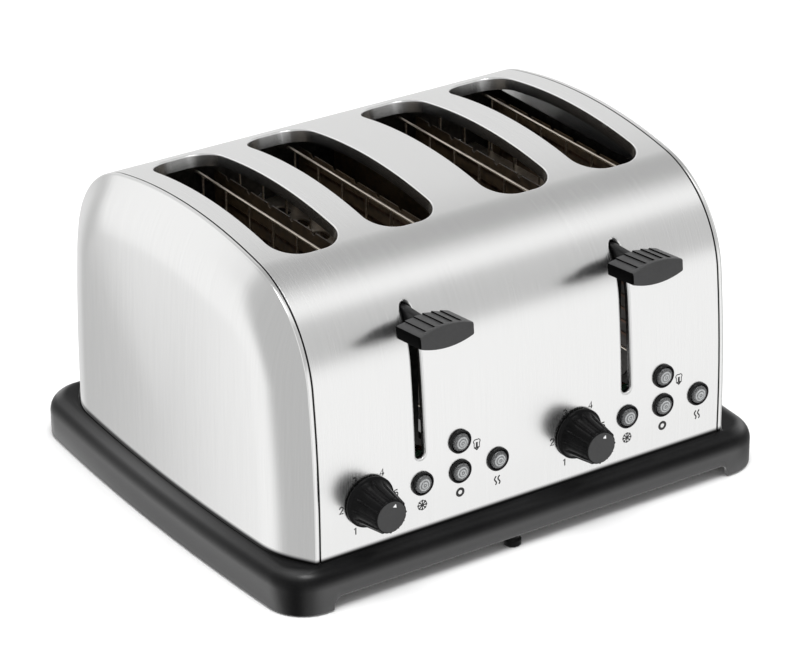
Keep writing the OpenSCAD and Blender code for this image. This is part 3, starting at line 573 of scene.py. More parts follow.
def rounded_loop(bm: BMesh, width: float, depth: float, radius: float, segments: int) -> list[BMVert]:
    """A rectangle with round corners, as a bare loop of edges.

    Args:
        bm: the mesh.
        width: size along X.
        depth: size along Y.
        radius: of the corners.
        segments: in each corner.

    Returns:
        The loop's points.
    """
    before = set(bm.verts)
    made = bmesh.ops.create_grid(bm, x_segments=1, y_segments=1, size=0.5)
    bmesh.ops.scale(bm, vec=(width, depth, 1.0), verts=made["verts"])
    bevel(bm, made["verts"], radius, segments, "VERTICES")
    loop = [v for v in bm.verts if v not in before]
    faces = {f for v in loop for f in v.link_faces}
    bmesh.ops.delete(bm, geom=list(faces), context="FACES_ONLY")
    return loop


def thicken(bm: BMesh, gauge: float) -> set[BMVert]:
    """Gives a sheet its gauge on the inner side.

    Args:
        bm: the sheet, whose points carry their outward direction in the layer facing.
        gauge: of the sheet.

    Returns:
        The points of the outer side.
    """
    facing = bm.verts.layers.float_vector["facing"]
    outer = set(bm.verts)
    bmesh.ops.extrude_face_region(bm, geom=bm.faces[:], use_keep_orig=True)
    for vert in bm.verts:
        if vert not in outer:
            vert.co -= vert[facing] * gauge
            vert[facing] = -vert[facing]
    return outer


def turned(profile: Sequence[Point], steps: int) -> BMesh:
    """A turned piece about Z.

    Args:
        profile: radius and height of each point.
        steps: round the turn.

    Returns:
        The mesh.
    """
    bm = bmesh.new()
    verts = chain(bm, [(r, 0.0, z) for r, z in profile])
    bmesh.ops.spin(
        bm, geom=verts + bm.edges[:], cent=(0, 0, 0), axis=(0, 0, 1), dvec=(0, 0, 0),
        angle=2.0 * math.pi, steps=steps, use_merge=True, use_duplicate=False,
    )
    bmesh.ops.remove_doubles(bm, verts=bm.verts[:], dist=0.0005)
    face_out(bm)
    return bm


def to_front(bm: BMesh, x: float, y: float, z: float) -> None:
    """Turns a piece made along Z so that it looks out of the front, and puts it there."""
    turn = Matrix.Translation((x, y, z)) @ Matrix.Rotation(math.radians(90.0), 4, "X")
    bmesh.ops.transform(bm, matrix=turn, verts=bm.verts[:])


def place_piece(
    bm: BMesh,
    name: str,
    body: str,
    finish: Finish,
    stands_for: Sequence[str] = (),
    sharp: float = 32.0,
) -> bpy.types.Object:
    """Makes a mesh in millimetres a piece of the toaster.

    Args:
        bm: the mesh in the body's own frame; it is freed.
        name: of the piece.
        body: that it moves with.
        finish: its material.
        stands_for: CAD nodes that it replaces.
        sharp: angle in degrees past which an edge is sharp.

    Returns:
        The object.
    """
    bmesh.ops.translate(bm, vec=(0.0, FRAME_Y, 0.0), verts=bm.verts[:])
    bmesh.ops.scale(bm, vec=(MM, MM, MM), verts=bm.verts[:])
    mesh = bpy.data.meshes.new(name)
    bm.to_mesh(mesh)
    bm.free()
    if "home" in mesh.attributes:
        mesh.attributes.remove(mesh.attributes["home"])
    mesh.shade_smooth()
    mesh.set_sharp_from_angle(angle=math.radians(sharp))
    mesh.materials.append(finish.material())
    piece = add_object(name, mesh)
    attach(piece, body)
    if stands_for:
        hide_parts(*stands_for)
    LOG.info("%s: %d faces on %s", name, len(mesh.polygons), body)
    return piece


@dataclass
class ShellOutline:
    """Section of the body: upright foot, wall, shoulder and crown arcs that run into each other."""

    half_d: float = 136.9
    total_h: float = 200.8
    crown_r: float = 381.0
    shoulder_r: float = 69.0
    wall_r: float = 788.0
    wall_z: float = 43.3
    seat_z: float = 25.4

    def __post_init__(self) -> None:
        """Works out the arcs' centres and where they meet."""
        self.crown_c = Vector((0.0, self.total_h - self.crown_r))
        self.wall_c = Vector((self.half_d - self.wall_r, self.wall_z))
        a = self.crown_r - self.shoulder_r
        b = self.wall_r - self.shoulder_r
        gap = (self.wall_c - self.crown_c).length
        along = (self.wall_c - self.crown_c) / gap
        foot = (a * a - b * b + gap * gap) / (2.0 * gap)
        rise = math.sqrt(a * a - foot * foot)
        self.shoulder_c = self.crown_c + along * foot + Vector((along.y, -along.x)) * rise
        to_wall = self.shoulder_c - self.wall_c
        to_crown = self.shoulder_c - self.crown_c
        self.wall_end = math.atan2(to_wall.y, to_wall.x)
        self.crown_start = math.atan2(to_crown.y, to_crown.x)
        self.crown_len = self.crown_r * (math.pi / 2.0 - self.crown_start)
        self.shoulder_len = self.shoulder_r * (self.crown_start - self.wall_end)
        self.wall_len = self.wall_r * self.wall_end
        self.half_len = self.crown_len + self.shoulder_len + self.wall_len + self.wall_z - self.seat_z

    def at(self, run: float) -> tuple[Vector, Vector]:
        """A point of the section.

        Args:
            run: length along it from the top, to the rear when positive.

        Returns:
            The point and the outward direction there, as Y and Z.
        """
        way = 1.0 if run >= 0.0 else -1.0
        rest = abs(run)
        past_shoulder = self.crown_len + self.shoulder_len
        if rest <= self.crown_len:
            angle, centre, radius = math.pi / 2.0 - rest / self.crown_r, self.crown_c, self.crown_r
        elif rest <= past_shoulder:
            angle = self.crown_start - (rest - self.crown_len) / self.shoulder_r
            centre, radius = self.shoulder_c, self.shoulder_r
        elif rest <= past_shoulder + self.wall_len:
            angle = self.wall_end - (rest - past_shoulder) / self.wall_r
            centre, radius = self.wall_c, self.wall_r
        else:
            drop = rest - past_shoulder - self.wall_len
            return Vector((way * self.half_d, self.wall_z - drop)), Vector((way, 0.0))
        out = Vector((math.cos(angle), math.sin(angle)))
        point = centre + out * radius
        return Vector((way * point.x, point.y)), Vector((way * out.x, out.y))

    def run_at_depth(self, y: float) -> float:
        """Length along the section to a place on the top, from its Y."""
        away = abs(y)
        if away <= self.crown_r * math.cos(self.crown_start):
            run = self.crown_r * math.asin(away / self.crown_r)
        else:
            angle = math.acos((away - self.shoulder_c.x) / self.shoulder_r)
            run = self.crown_len + self.shoulder_r * (self.crown_start - angle)
        return math.copysign(run, y)

    def run_at_height(self, z: float) -> float:
        """Length along the section to a height on its rear side."""
        past_shoulder = self.crown_len + self.shoulder_len
        if z <= self.wall_z:
            return past_shoulder + self.wall_len + self.wall_z - z
        if z <= self.wall_z + self.wall_r * math.sin(self.wall_end):
            return past_shoulder + self.wall_len - self.wall_r * math.asin((z - self.wall_z) / self.wall_r)
        angle = math.asin((z - self.shoulder_c.y) / self.shoulder_r)
        return self.crown_len + self.shoulder_r * (self.crown_start - angle)

    def front_y(self, z: float) -> float:
        """Y of the front wall at a height."""
        return -self.at(self.run_at_height(z))[0].x

    def runs(self) -> list[float]:
        """Places along the section that cut it into flat strips."""
        parts = ((0.0, self.crown_len, 10), (self.crown_len, self.shoulder_len, 36))
        parts += ((self.crown_len + self.shoulder_len, self.wall_len, 6),)
        marks = [start + length * k / count for start, length, count in parts for k in range(count)]
        marks.append(self.crown_len + self.shoulder_len + self.wall_len)
        return sorted({-m for m in marks} | set(marks))

    def trace(self, bm: BMesh) -> list[BMVert]:
        """Draws the section as a chain of points at X = 0, from the front foot to the rear foot.

        Args:
            bm: the mesh.

        Returns:
            The points in order.
        """
        foot = (self.seat_z, (self.seat_z + self.wall_z) / 2.0, self.wall_z)
        verts = chain(bm, [(0.0, -self.half_d, z) for z in foot])
        turns = (
            (-self.wall_c.x, self.wall_c.y, self.wall_end, 6),
            (-self.shoulder_c.x, self.shoulder_c.y, self.crown_start - self.wall_end, 36),
            (0.0, self.crown_c.y, math.pi - 2.0 * self.crown_start, 20),
            (self.shoulder_c.x, self.shoulder_c.y, self.crown_start - self.wall_end, 36),
            (self.wall_c.x, self.wall_c.y, self.wall_end, 6),
        )
        for y, z, angle, steps in turns:
            before = set(bm.verts)
            bmesh.ops.spin(
                bm, geom=[verts[-1]], cent=(0.0, y, z), axis=(-1.0, 0.0, 0.0), dvec=(0, 0, 0),
                angle=angle, steps=steps, use_merge=False, use_duplicate=False,
            )
            verts.extend(v for v in bm.verts if v not in before)
        for z in reversed(foot[:-1]):
            made = bmesh.ops.extrude_vert_indiv(bm, verts=[verts[-1]])
            made["verts"][0].co = (0.0, self.half_d, z)
            verts.extend(made["verts"])
        return verts

    def facing(self, point: Vector) -> Vector:
        """Outward direction at a point of the section, as X = 0, Y and Z."""
        way = math.copysign(1.0, point.y)
        flat = Vector((abs(point.y), point.z))
        if point.z <= self.wall_z + 1e-4:
            return Vector((0.0, way, 0.0))
        if point.z <= self.wall_z + self.wall_r * math.sin(self.wall_end) + 1e-4:
            out = (flat - self.wall_c).normalized()
        elif abs(point.y) >= self.crown_r * math.cos(self.crown_start) - 1e-4:
            out = (flat - self.shoulder_c).normalized()
        else:
            out = (flat - self.crown_c).normalized()
        return Vector((0.0, way * out.x, out.y))


@dataclass
class FrontLayout:
    """Where the controls stand on the front, the same on both halves."""

    lever_x: float = 74.4
    knob_dx: float = -36.6
    row_z: float = 56.6
    cancel_z: float = 76.0
    first_dx: float = 0.4
    pitch: float = 26.75

    def lever(self, side: Side) -> float:
        """X of a lever."""
        return side.sign * self.lever_x

    def knob(self, side: Side) -> float:
        """X of a knob."""
        return self.lever(side) + self.knob_dx

    def button(self, side: Side, button: Button) -> Point:
        """X and Z of a button."""
        order = {Button.DEFROST: 0, Button.BAGEL: 1, Button.REHEAT: 2, Button.CANCEL: 1}
        z = self.cancel_z if button is Button.CANCEL else self.row_z
        return self.lever(side) + self.first_dx + self.pitch * order[button], z


@dataclass
class WrapSheet:
    """Front, top and rear in one sheet: a flat blank that is pierced, rimmed and bent."""

    outline: ShellOutline
    layout: FrontLayout
    half_w: float = 145.0
    seam: float = 1.4
    gauge: float = 0.9
    slot_w: float = 47.5
    slot_len: float = 160.4
    slot_r: float = 19.0
    slot_dx: float = 33.05
    # Each roll's last value is the painted shade at its foot, darkening down into slots, holes and seams.
    bread_roll: Roll = (1.2, 8.0, 0.35)
    lever_roll: Roll = (2.2, 4.0, 0.05)
    hole_roll: Roll = (0.3, 1.2, 0.6)
    seam_roll: Roll = (0.4, 3.0, 0.02)
    top_run: float = 100.0
    front_run: float = 230.0
    lever_slot_w: float = 10.4
    lever_slot_z: tuple[float, float] = (70.4, 168.3)
    knob_hole: float = 8.0
    button_hole: float = 14.0
    gland_hole: float = 15.0
    gland_z: float = 50.0

    def build(self) -> bpy.types.Object:
        """Makes the sheet.

        Returns:
            The piece that stands for wrap_shell.
        """
        bm = self._blank()
        self._rims(bm)
        self._thicken(bm)
        facings = self._bend(bm)
        piece = place_piece(bm, "wrap_sheet", "housing", WRAP, ("wrap_shell",))
        self._set_normals(piece.data, facings)
        return piece

    def _blank(self) -> BMesh:
        """The flat sheet with its holes, X across and Y along the section, cut into strips.

        Returns:
            The mesh.
        """
        bm = bmesh.new()
        half = self.half_w - self.seam
        made = bmesh.ops.create_grid(bm, x_segments=1, y_segments=1, size=1.0)
        bmesh.ops.scale(bm, vec=(half, self.outline.half_len, 1.0), verts=made["verts"])
        bmesh.ops.delete(bm, geom=bm.faces[:], context="FACES_ONLY")
        for side in Side:
            for dx in (-self.slot_dx, self.slot_dx):
                loop = rounded_loop(bm, self.slot_w, self.slot_len, self.slot_r, 14)
                for vert in loop:
                    vert.co.x += self.layout.lever(side) + dx
                    vert.co.y = self.outline.run_at_depth(vert.co.y)
            low, high = self.lever_slot_z
            loop = rounded_loop(bm, self.lever_slot_w, high - low, self.lever_slot_w * 0.499, 10)
            self._to_wall(loop, self.layout.lever(side), (low + high) / 2.0)
            self._round_hole(bm, self.knob_hole, self.layout.knob(side), self.layout.row_z, -1.0)
            for button in Button:
                x, z = self.layout.button(side, button)
                self._round_hole(bm, self.button_hole, x, z, -1.0)
        self._round_hole(bm, self.gland_hole, 0.0, self.gland_z, 1.0)
        bmesh.ops.triangle_fill(bm, use_beauty=True, use_dissolve=False, edges=bm.edges[:], normal=UP)
        for run in self.outline.runs():
            slice_at(bm, (0, run, 0), (0, 1, 0))
        face_out(bm)
        if sum(f.normal.z for f in bm.faces) < 0.0:
            bmesh.ops.reverse_faces(bm, faces=bm.faces[:])
        return bm

    def _to_wall(self, loop: Iterable[BMVert], x: float, z: float, way: float = -1.0) -> None:
        """Moves a loop made about the origin to the front or rear wall of the blank."""
        for vert in loop:
            vert.co.x += x
            vert.co.y = way * self.outline.run_at_height(z + vert.co.y)

    def _round_hole(self, bm: BMesh, width: float, x: float, z: float, way: float) -> None:
        """Adds the loop of a round hole on the front or rear wall."""
        made = bmesh.ops.create_circle(bm, cap_ends=False, segments=32, radius=width / 2.0)
        self._to_wall(made["verts"], x, z, way)

    def _rims(self, bm: BMesh) -> None:
        """Rolls the edges of slots, holes and seams inwards, with painted shade down inside them."""
        bm.verts.layers.int.new("home")
        facing = bm.verts.layers.float_vector.new("facing")
        shade = bm.verts.layers.float.new("shade")
        for vert in bm.verts:
            vert[facing] = UP
            vert[shade] = 1.0
        side_x = self.half_w - self.seam - 0.01
        hand_x = self.lever_slot_w / 2.0 + 0.2
        bread, hand, small, seam = [], [], [], []
        for edge in bm.edges:
            if len(edge.link_faces) != 1:
                continue
            middle = (edge.verts[0].co + edge.verts[1].co) / 2.0
            if abs(middle.x) > side_x:
                seam.append(edge)
            elif abs(middle.y) > self.outline.half_len - 0.01:
                continue
            elif abs(middle.y) < self.top_run:
                bread.append(edge)
            elif abs(abs(middle.x) - self.layout.lever_x) < hand_x and -self.front_run < middle.y < 0.0:
                hand.append(edge)
            else:
                small.append(edge)
        self._roll(bm, bread, *self.bread_roll)
        self._roll(bm, hand, *self.lever_roll)
        self._roll(bm, small, *self.hole_roll)
        self._roll(bm, seam, *self.seam_roll)

    def _roll(self, bm: BMesh, edges: list[BMEdge], radius: float, depth: float, foot_shade: float) -> None:
        """Rolls a row of open edges over and down, with painted shade that darkens towards its foot.

        Args:
            bm: the blank.
            edges: its open edges.
            radius: of the roll.
            depth: that it reaches below the sheet.
            foot_shade: tone at its foot.
        """
        facing = bm.verts.layers.float_vector["facing"]
        shade = bm.verts.layers.float["shade"]
        home = bm.verts.layers.int["home"]
        row = set(edges)
        verts = ends(edges)
        number(bm, verts)
        starts = [v.co.copy() for v in verts]
        outs = []
        for vert in verts:
            total = Vector()
            for edge in vert.link_edges:
                if edge in row:
                    way = edge.verts[1].co - edge.verts[0].co
                    across = Vector((way.y, -way.x, 0.0)).normalized()
                    middle = (edge.verts[0].co + edge.verts[1].co) / 2.0
                    inner = edge.link_faces[0].calc_center_median() - middle
                    total += -across if across.dot(inner) > 0.0 else across
            outs.append(total.normalized())
        turns = (0.4, 0.8, 1.2, math.pi / 2.0)
        section = [(radius * math.sin(a), radius * (1.0 - math.cos(a)), a) for a in turns]
        section += [(radius, radius + (depth - radius) * k / 3.0, math.pi / 2.0) for k in (1, 2, 3)]
        for into, drop, lean in section:
            edges = draw_out(bm, edges, lambda i: starts[i] + outs[i] * into - UP * drop)
            for vert in ends(edges):
                vert[facing] = outs[vert[home]] * math.sin(lean) + UP * math.cos(lean)
                # painted shade: the colour darkens down the roll, as shade inside the hole
                vert[shade] = 1.0 - (1.0 - foot_shade) * max(0.0, drop - radius * 0.4) / depth

    def _thicken(self, bm: BMesh) -> None:
        """Gives the sheet its gauge on the inner side, and marks the faces along its edges."""
        face_out(bm)
        flat = [f for f in bm.faces if abs(f.calc_center_median().z) < 1e-4]
        if sum(f.normal.z for f in flat) < 0.0:
            bmesh.ops.reverse_faces(bm, faces=bm.faces[:])
        sheer = bm.faces.layers.int.new("sheer")
        outer = thicken(bm, self.gauge)
        for face in bm.faces:
            kept = sum(1 for v in face.verts if v in outer)
            face[sheer] = 0 if kept in (0, len(face.verts)) else 1
        face_out(bm)

    def _bend(self, bm: BMesh) -> list[Vector]:
        """Bends the blank onto the section.

        Args:
            bm: the blank.

        Returns:
            The outward direction at each point.
        """
        facing = bm.verts.layers.float_vector["facing"]
        facings = []
        for vert in bm.verts:
            point, out = self.outline.at(vert.co.y)
            normal = Vector((0.0, out.x, out.y))
            along = Vector((0.0, out.y, -out.x))
            place = Vector((vert.co.x, point.x, point.y)) + normal * vert.co.z
            flat = vert[facing]
            vert.co = place
            facings.append((Vector((flat.x, 0.0, 0.0)) + along * flat.y + normal * flat.z).normalized())
        return facings

    def _set_normals(self, mesh: bpy.types.Mesh, facings: Sequence[Vector]) -> None:
        """Gives the sheet the true directions of the bent surface.

        Args:
            mesh: the finished mesh.
            facings: outward direction at each point.
        """
        sheer = mesh.attributes["sheer"].data
        normals = [Vector()] * len(mesh.loops)
        for polygon in mesh.polygons:
            for index in polygon.loop_indices:
                edge_face = sheer[polygon.index].value
                normals[index] = polygon.normal if edge_face else facings[mesh.loops[index].vertex_index]
        mesh.normals_split_custom_set([tuple(n) for n in normals])
        for name in ("sheer", "facing"):
            mesh.attributes.remove(mesh.attributes[name])


@dataclass
class EndCover:
    """A pressed end: lip at the seam, round edge and a slightly bowed side."""

    outline: ShellOutline
    side: Side
    half_w: float = 145.0
    lip: float = 2.6
    round_w: float = 30.0
    flat_w: float = 10.0
    turn_w: float = 36.0
    bulge: float = 17.0
    bow: float = 4.0
    flange: float = 5.0
    under: float = 1.3
    core: float = 60.0
    gauge: float = 0.9

    def _face(self, inset: float) -> tuple[float, float]:
        """Stand and slope of the bowed side at a distance from the cover's edge."""
        reach = self.outline.half_d - self.round_w
        share = (self.outline.half_d - inset) / reach
        return self.bulge + self.bow * (1.0 - share**2), 2.0 * self.bow * share / reach

    def _stand(self, inset: float) -> float:
        """How far the cover stands out, from the distance to its edge."""
        if inset >= self.turn_w:
            return self._face(inset)[0]
        end, last = self._face(self.turn_w)
        turn = self.turn_w - self.flat_w
        first = (end - self.lip - last * turn / 2.0) / (self.flat_w + turn / 2.0)
        past = max(0.0, inset - self.flat_w)
        return self.lip + first * inset + (last - first) / turn * past**2 / 2.0

    def _section(self) -> list[tuple[float, float, float]]:
        """Stand, inset and painted shade of each row from the flange to the core.

        Returns:
            The rows in order.
        """
        # The third value is painted shade: the flange and the lip's edge are darkened as the shade in the
        # seam gap.
        rows = [(-self.flange, self.under, 0.02), (-0.6, self.under, 0.02), (-0.1, self.under - 0.2, 0.02)]
        rows += [(0.0, 0.7, 0.1), (0.03, 0.3, 0.6), (0.15, 0.1, 1.0), (0.4, 0.0, 1.0), (1.2, 0.0, 1.0)]
        rows += [(1.7, 0.03, 1.0), (2.2, 0.14, 1.0), (2.65, 0.34, 1.0)]
        inset = 0.75
        while inset < self.core - 0.01:
            rows.append((self._stand(inset), inset, 1.0))
            inset += 0.75 if inset < 3.0 else 1.5 if inset < self.round_w + 4.0 else 4.0
        rows.append((self._stand(self.core), self.core, 1.0))
        return rows

    def _bowed(self, point: Vector) -> float:
        """Stand of the bowed side at a place on it."""
        reach = self.outline.half_d - self.round_w
        climb = max(0.0, point.z - self.outline.total_h + self.outline.half_d)
        return self.bulge + self.bow * (1.0 - math.hypot(point.y**2, climb**2) / reach**2)

    def _raised(self, point: Vector, stand: float, inset: float) -> Vector:
        """A point of a row, raised to its stand and eased into the bowed side.

        Args:
            point: the place in the seam's plane.
            stand: of the row.
            inset: of the row.

        Returns:
            The place on the cover.
        """
        share = min(1.0, inset / self.turn_w)
        ease = share * share * (3.0 - 2.0 * share)
        return point + Vector((stand + ease * (self._bowed(point) - self._face(inset)[0]), 0.0, 0.0))

    def build(self) -> bpy.types.Object:
        """Makes the cover.

        Returns:
            The piece that stands for the end cover.
        """
        bm = bmesh.new()
        shade = bm.verts.layers.float.new("shade")
        bm.verts.layers.int.new("home")
        verts = self.outline.trace(bm)
        number(bm, verts)
        starts = [v.co.copy() for v in verts]
        outs = [self.outline.facing(p) for p in starts]
        rows = self._section()
        for vert in verts:
            vert[shade] = rows[0][2]
            vert.co.x = rows[0][0]
            vert.co -= self.outline.facing(vert.co) * rows[0][1]
        edges = bm.edges[:]
        foot = Vector((0.0, 0.0, self.outline.seat_z))
        for stand, inset, tone in rows[1:]:
            edges = draw_out(bm, edges, lambda i: self._raised(starts[i] - outs[i] * inset, stand, inset))
            for vert in ends(edges):
                vert[shade] = tone
        rims = [p - out * self.core - foot for p, out in zip(starts, outs)]
        level = self._stand(self.core)
        for step in range(16):
            share = 0.94 - 0.06 * step
            edges = draw_out(bm, edges, lambda i: self._raised(foot + rims[i] * share, level, self.core))
            for vert in ends(edges):
                vert[shade] = 1.0
        tips = [v for v in ends(edges) if sum(e in edges for e in v.link_edges) == 1]
        edges.append(bm.edges.new(tips))
        bmesh.ops.edgeloop_fill(bm, edges=edges)
        for vert in bm.verts:
            vert.co.x = self.side.sign * (self.half_w + vert.co.x)
        face_out(bm)
        outward = sum(f.normal.x * f.calc_area() for f in bm.faces) * self.side.sign
        if outward < 0.0:
            bmesh.ops.reverse_faces(bm, faces=bm.faces[:])
        bm.normal_update()
        facing = bm.verts.layers.float_vector.new("facing")
        for vert in bm.verts:
            vert[facing] = vert.normal
        thicken(bm, self.gauge)
        bm.verts.layers.float_vector.remove(bm.verts.layers.float_vector["facing"])
        name = self.side.value
        return place_piece(bm, f"{name}_pressed_cover", "housing", COVER, (f"{name}_end_cover",), sharp=60.0)


@dataclass
class BaseMoulding:
    """The black base: corner feet, raised front and rear edges, rounded rim and a recess for the body."""

    cover: EndCover
    width: float = 347.3
    bow: float = 4.4
    depth: float = 300.0
    height: float = 26.6
    corner_r: float = 25.8
    edge_r: float = 10.5
    wall: float = 3.0
    low: float = 0.6
    arch_h: float = 8.6
    arch_half: float = 143.65
    arch_r: float = 6.0
    gap: float = 1.3
    recess: float = 2.2
    mouth_x: Point = (7.4, 134.65)
    mouth_z: Point = (11.8, 21.7)
    mouth_reach: float = 20.0
    # Where along the sides the painted sheen is strongest, and how fast it fades to their ends.
    sheen_least: float = 0.25
    sheen_middle_y: float = 10.0
    sheen_reach: float = 85.0
    # Rows round the rim: gloss and painted sheen at the sides, at the front and rear, and at the corners,
    # and the angle in degrees; they paint highlight bands.
    gloss: tuple[tuple[float, float, float, float], ...] = (
        (0.95, 0.9, 0.0, 0.0), (0.7, 0.6, 0.0, 9.0), (0.42, 0.32, 0.0, 18.0), (0.26, 0.12, 0.0, 27.0),
        (0.24, 0.02, 0.05, 36.0), (0.45, 0.04, 0.3, 45.0), (0.9, 0.1, 0.75, 54.0), (1.0, 0.12, 0.9, 63.0),
        (0.9, 0.1, 0.75, 72.0), (0.5, 0.0, 0.3, 81.0), (0.2, 0.0, 0.0, 90.0),
    )

    def _foot_z(self, point: Vector) -> float:
        """Height of the lower edge at a point of the outline."""
        away = abs(point.x)
        if abs(point.y) < self.depth / 2.0 - 0.01 or away > self.arch_half:
            return self.low
        if away < self.arch_half - self.arch_r:
            return self.arch_h
        part = away - self.arch_half + self.arch_r
        return self.arch_h - self.arch_r + math.sqrt(max(0.0, self.arch_r**2 - part**2))

    def _inward(self, point: Vector, inset: float) -> Vector:
        """A place on the bowed outline, moved inwards.

        Args:
            point: the place on the straight outline.
            inset: how far inwards.

        Returns:
            The place at Z = 0.
        """
        half_x = self.width / 2.0 - self.corner_r
        half_y = self.depth / 2.0 - self.corner_r
        over_x = abs(point.x) - half_x
        over_y = abs(point.y) - half_y
        way_x = math.copysign(1.0, point.x)
        way_y = math.copysign(1.0, point.y)
        if over_x <= 1e-4:
            return Vector((point.x, way_y * (self.depth / 2.0 - inset), 0.0))
        reach = (half_y**2 + self.bow**2) / (2.0 * self.bow)
        turn = math.asin(half_y / reach)
        if over_y <= 1e-4:
            angle = turn * point.y / half_y
            radius = reach + self.corner_r - inset
            x = half_x + self.bow - reach + radius * math.cos(angle)
            return Vector((way_x * x, radius * math.sin(angle), 0.0))
        angle = turn + (math.pi / 2.0 - turn) * math.atan2(over_y, over_x) / (math.pi / 2.0)
        radius = self.corner_r - inset
        x = half_x + radius * math.cos(angle)
        y = half_y + radius * math.sin(angle)
        return Vector((way_x * x, way_y * y, 0.0))

    def _flank(self, point: Vector) -> tuple[float, float]:
        """Share of the left and right sides, less to their ends, and share of the corner at a place, which
        weight the painted sheen.
        """
        over_x = abs(point.x) - self.width / 2.0 + self.corner_r
        over_y = abs(point.y) - self.depth / 2.0 + self.corner_r
        turn = math.atan2(max(0.0, over_y), max(1e-4, over_x))
        bell = math.exp(-(((point.y - self.sheen_middle_y) / self.sheen_reach) ** 2))
        side_sheen = self.sheen_least + (1.0 - self.sheen_least) * bell
        return side_sheen * math.cos(turn) ** 2, math.sin(2.0 * turn) ** 2

    def _gloss_and_sheen(
        self, bm: BMesh, edges: Sequence[BMEdge], flanks: Sequence[Point], gloss: Sequence[float]
    ) -> None:
        """Writes how glossy a row is and how much painted sheen lightens its colour.

        Args:
            bm: the mesh.
            edges: the row.
            flanks: share of the sides and of the corners at each point of the outline.
            gloss: gloss and painted sheen at the sides, at the front and rear, and at the corners.
        """
        home = bm.verts.layers.int["home"]
        gloss_and_painted_sheen = bm.verts.layers.float["gloss_and_painted_sheen"]
        for vert in ends(edges):
            share, corner = flanks[vert[home]]
            plain = gloss[0] * share + gloss[1] * (1.0 - share)
            vert[gloss_and_painted_sheen] = plain * (1.0 - corner) + gloss[2] * corner

    def _to_body(self, point: Vector, gap: float) -> Vector:
        """The place on the body's plan, with a gap, that goes with a point of the outline."""
        cover = self.cover
        half_x = self.width / 2.0 - self.corner_r
        half_y = self.depth / 2.0 - self.corner_r
        plan_x = cover.half_w + cover.lip
        plan_y = cover.outline.half_d
        way_x = math.copysign(1.0, point.x)
        way_y = math.copysign(1.0, point.y)
        over_x = abs(point.x) - half_x
        over_y = abs(point.y) - half_y
        if over_y <= 1e-4:
            y = abs(point.y) / half_y * (plan_y - cover.round_w)
            stand = cover._stand(plan_y - y)
            return Vector((way_x * (cover.half_w + stand + gap), way_y * y, 0.0))
        if over_x <= 1e-4:
            return Vector((point.x / half_x * plan_x, way_y * (plan_y + gap), 0.0))
        share = 1.0 - math.atan2(over_y, over_x) / (math.pi / 2.0)
        inset = cover.round_w * share
        lean = math.atan2(over_y, over_x)
        x = cover.half_w + cover._stand(inset) + gap * math.cos(lean)
        return Vector((way_x * x, way_y * (plan_y - inset + gap * math.sin(lean)), 0.0))

    def _in_mouth(self, place: Vector) -> bool:
        """Whether a place lies in a crumb tray's mouth."""
        across = self.mouth_x[0] < abs(place.x) < self.mouth_x[1]
        within = self.mouth_z[0] < place.z < self.mouth_z[1]
        return across and within and place.y > self.depth / 2.0 - self.mouth_reach

    def _mouths(self, bm: BMesh) -> None:
        """Opens the rear edge for the crumb trays.

        Args:
            bm: the closed moulding.
        """
        cuts = [((0.0, 0.0, z), (0.0, 0.0, 1.0)) for z in self.mouth_z]
        cuts += [((way * x, 0.0, 0.0), (1.0, 0.0, 0.0)) for x in self.mouth_x for way in (-1.0, 1.0)]
        for place, way in cuts:
            start = self.depth / 2.0 - self.mouth_reach
            rear = [f for f in bm.faces if min(v.co.y for v in f.verts) > start]
            lines = list(dict.fromkeys(e for f in rear for e in f.edges))
            points = list(dict.fromkeys(v for f in rear for v in f.verts))
            bmesh.ops.bisect_plane(bm, geom=rear + lines + points, dist=1e-4, plane_co=place, plane_no=way)
        gone = [f for f in bm.faces if self._in_mouth(f.calc_center_median())]
        bmesh.ops.delete(bm, geom=gone, context="FACES")
        for way in (-1.0, 1.0):
            rims = [e for e in bm.edges if e.is_boundary and e.verts[0].co.x * way > 0.0]
            bmesh.ops.bridge_loops(bm, edges=rims)

    def build(self) -> bpy.types.Object:
        """Makes the moulding.

        Returns:
            The piece that stands for base_tray.
        """
        bm = bmesh.new()
        rounded_loop(bm, self.width, self.depth, self.corner_r, 16)
        marks = [self.arch_half - self.arch_r * (1.0 - math.sin(math.radians(a))) for a in range(0, 91, 15)]
        marks += [self.arch_half + 0.25] + [20.0 * k for k in range(7)]
        for mark in sorted(set(marks) | {-m for m in marks}):
            slice_at(bm, (mark, 0, 0), (1, 0, 0))
        for mark in range(-120, 121, 10):
            slice_at(bm, (0, mark, 0), (0, 1, 0))
        bm.verts.layers.int.new("home")
        bm.verts.layers.float.new("gloss_and_painted_sheen")
        verts = bm.verts[:]
        number(bm, verts)
        starts = [v.co.copy() for v in verts]
        feet = [self._foot_z(p) for p in starts]
        flanks = [self._flank(p) for p in starts]
        first = bm.edges[:]
        for vert, point in zip(verts, starts):
            vert.co = self._inward(point, self.wall + 8.0) + UP * (self.height - 4.0)
        inner = [(self.wall + 2.0, self.height - 6.0), (self.wall, self.height - 12.0)]
        edges = first
        for inset, z in inner:
            edges = draw_out(bm, edges, lambda i: self._inward(starts[i], inset) + UP * z)
        for inset, lift in ((self.wall, 0.5), (self.wall - 0.5, 0.0), (0.9, 0.0), (0.35, 0.25), (0.0, 0.9)):
            edges = draw_out(bm, edges, lambda i: self._inward(starts[i], inset) + UP * (feet[i] + lift))
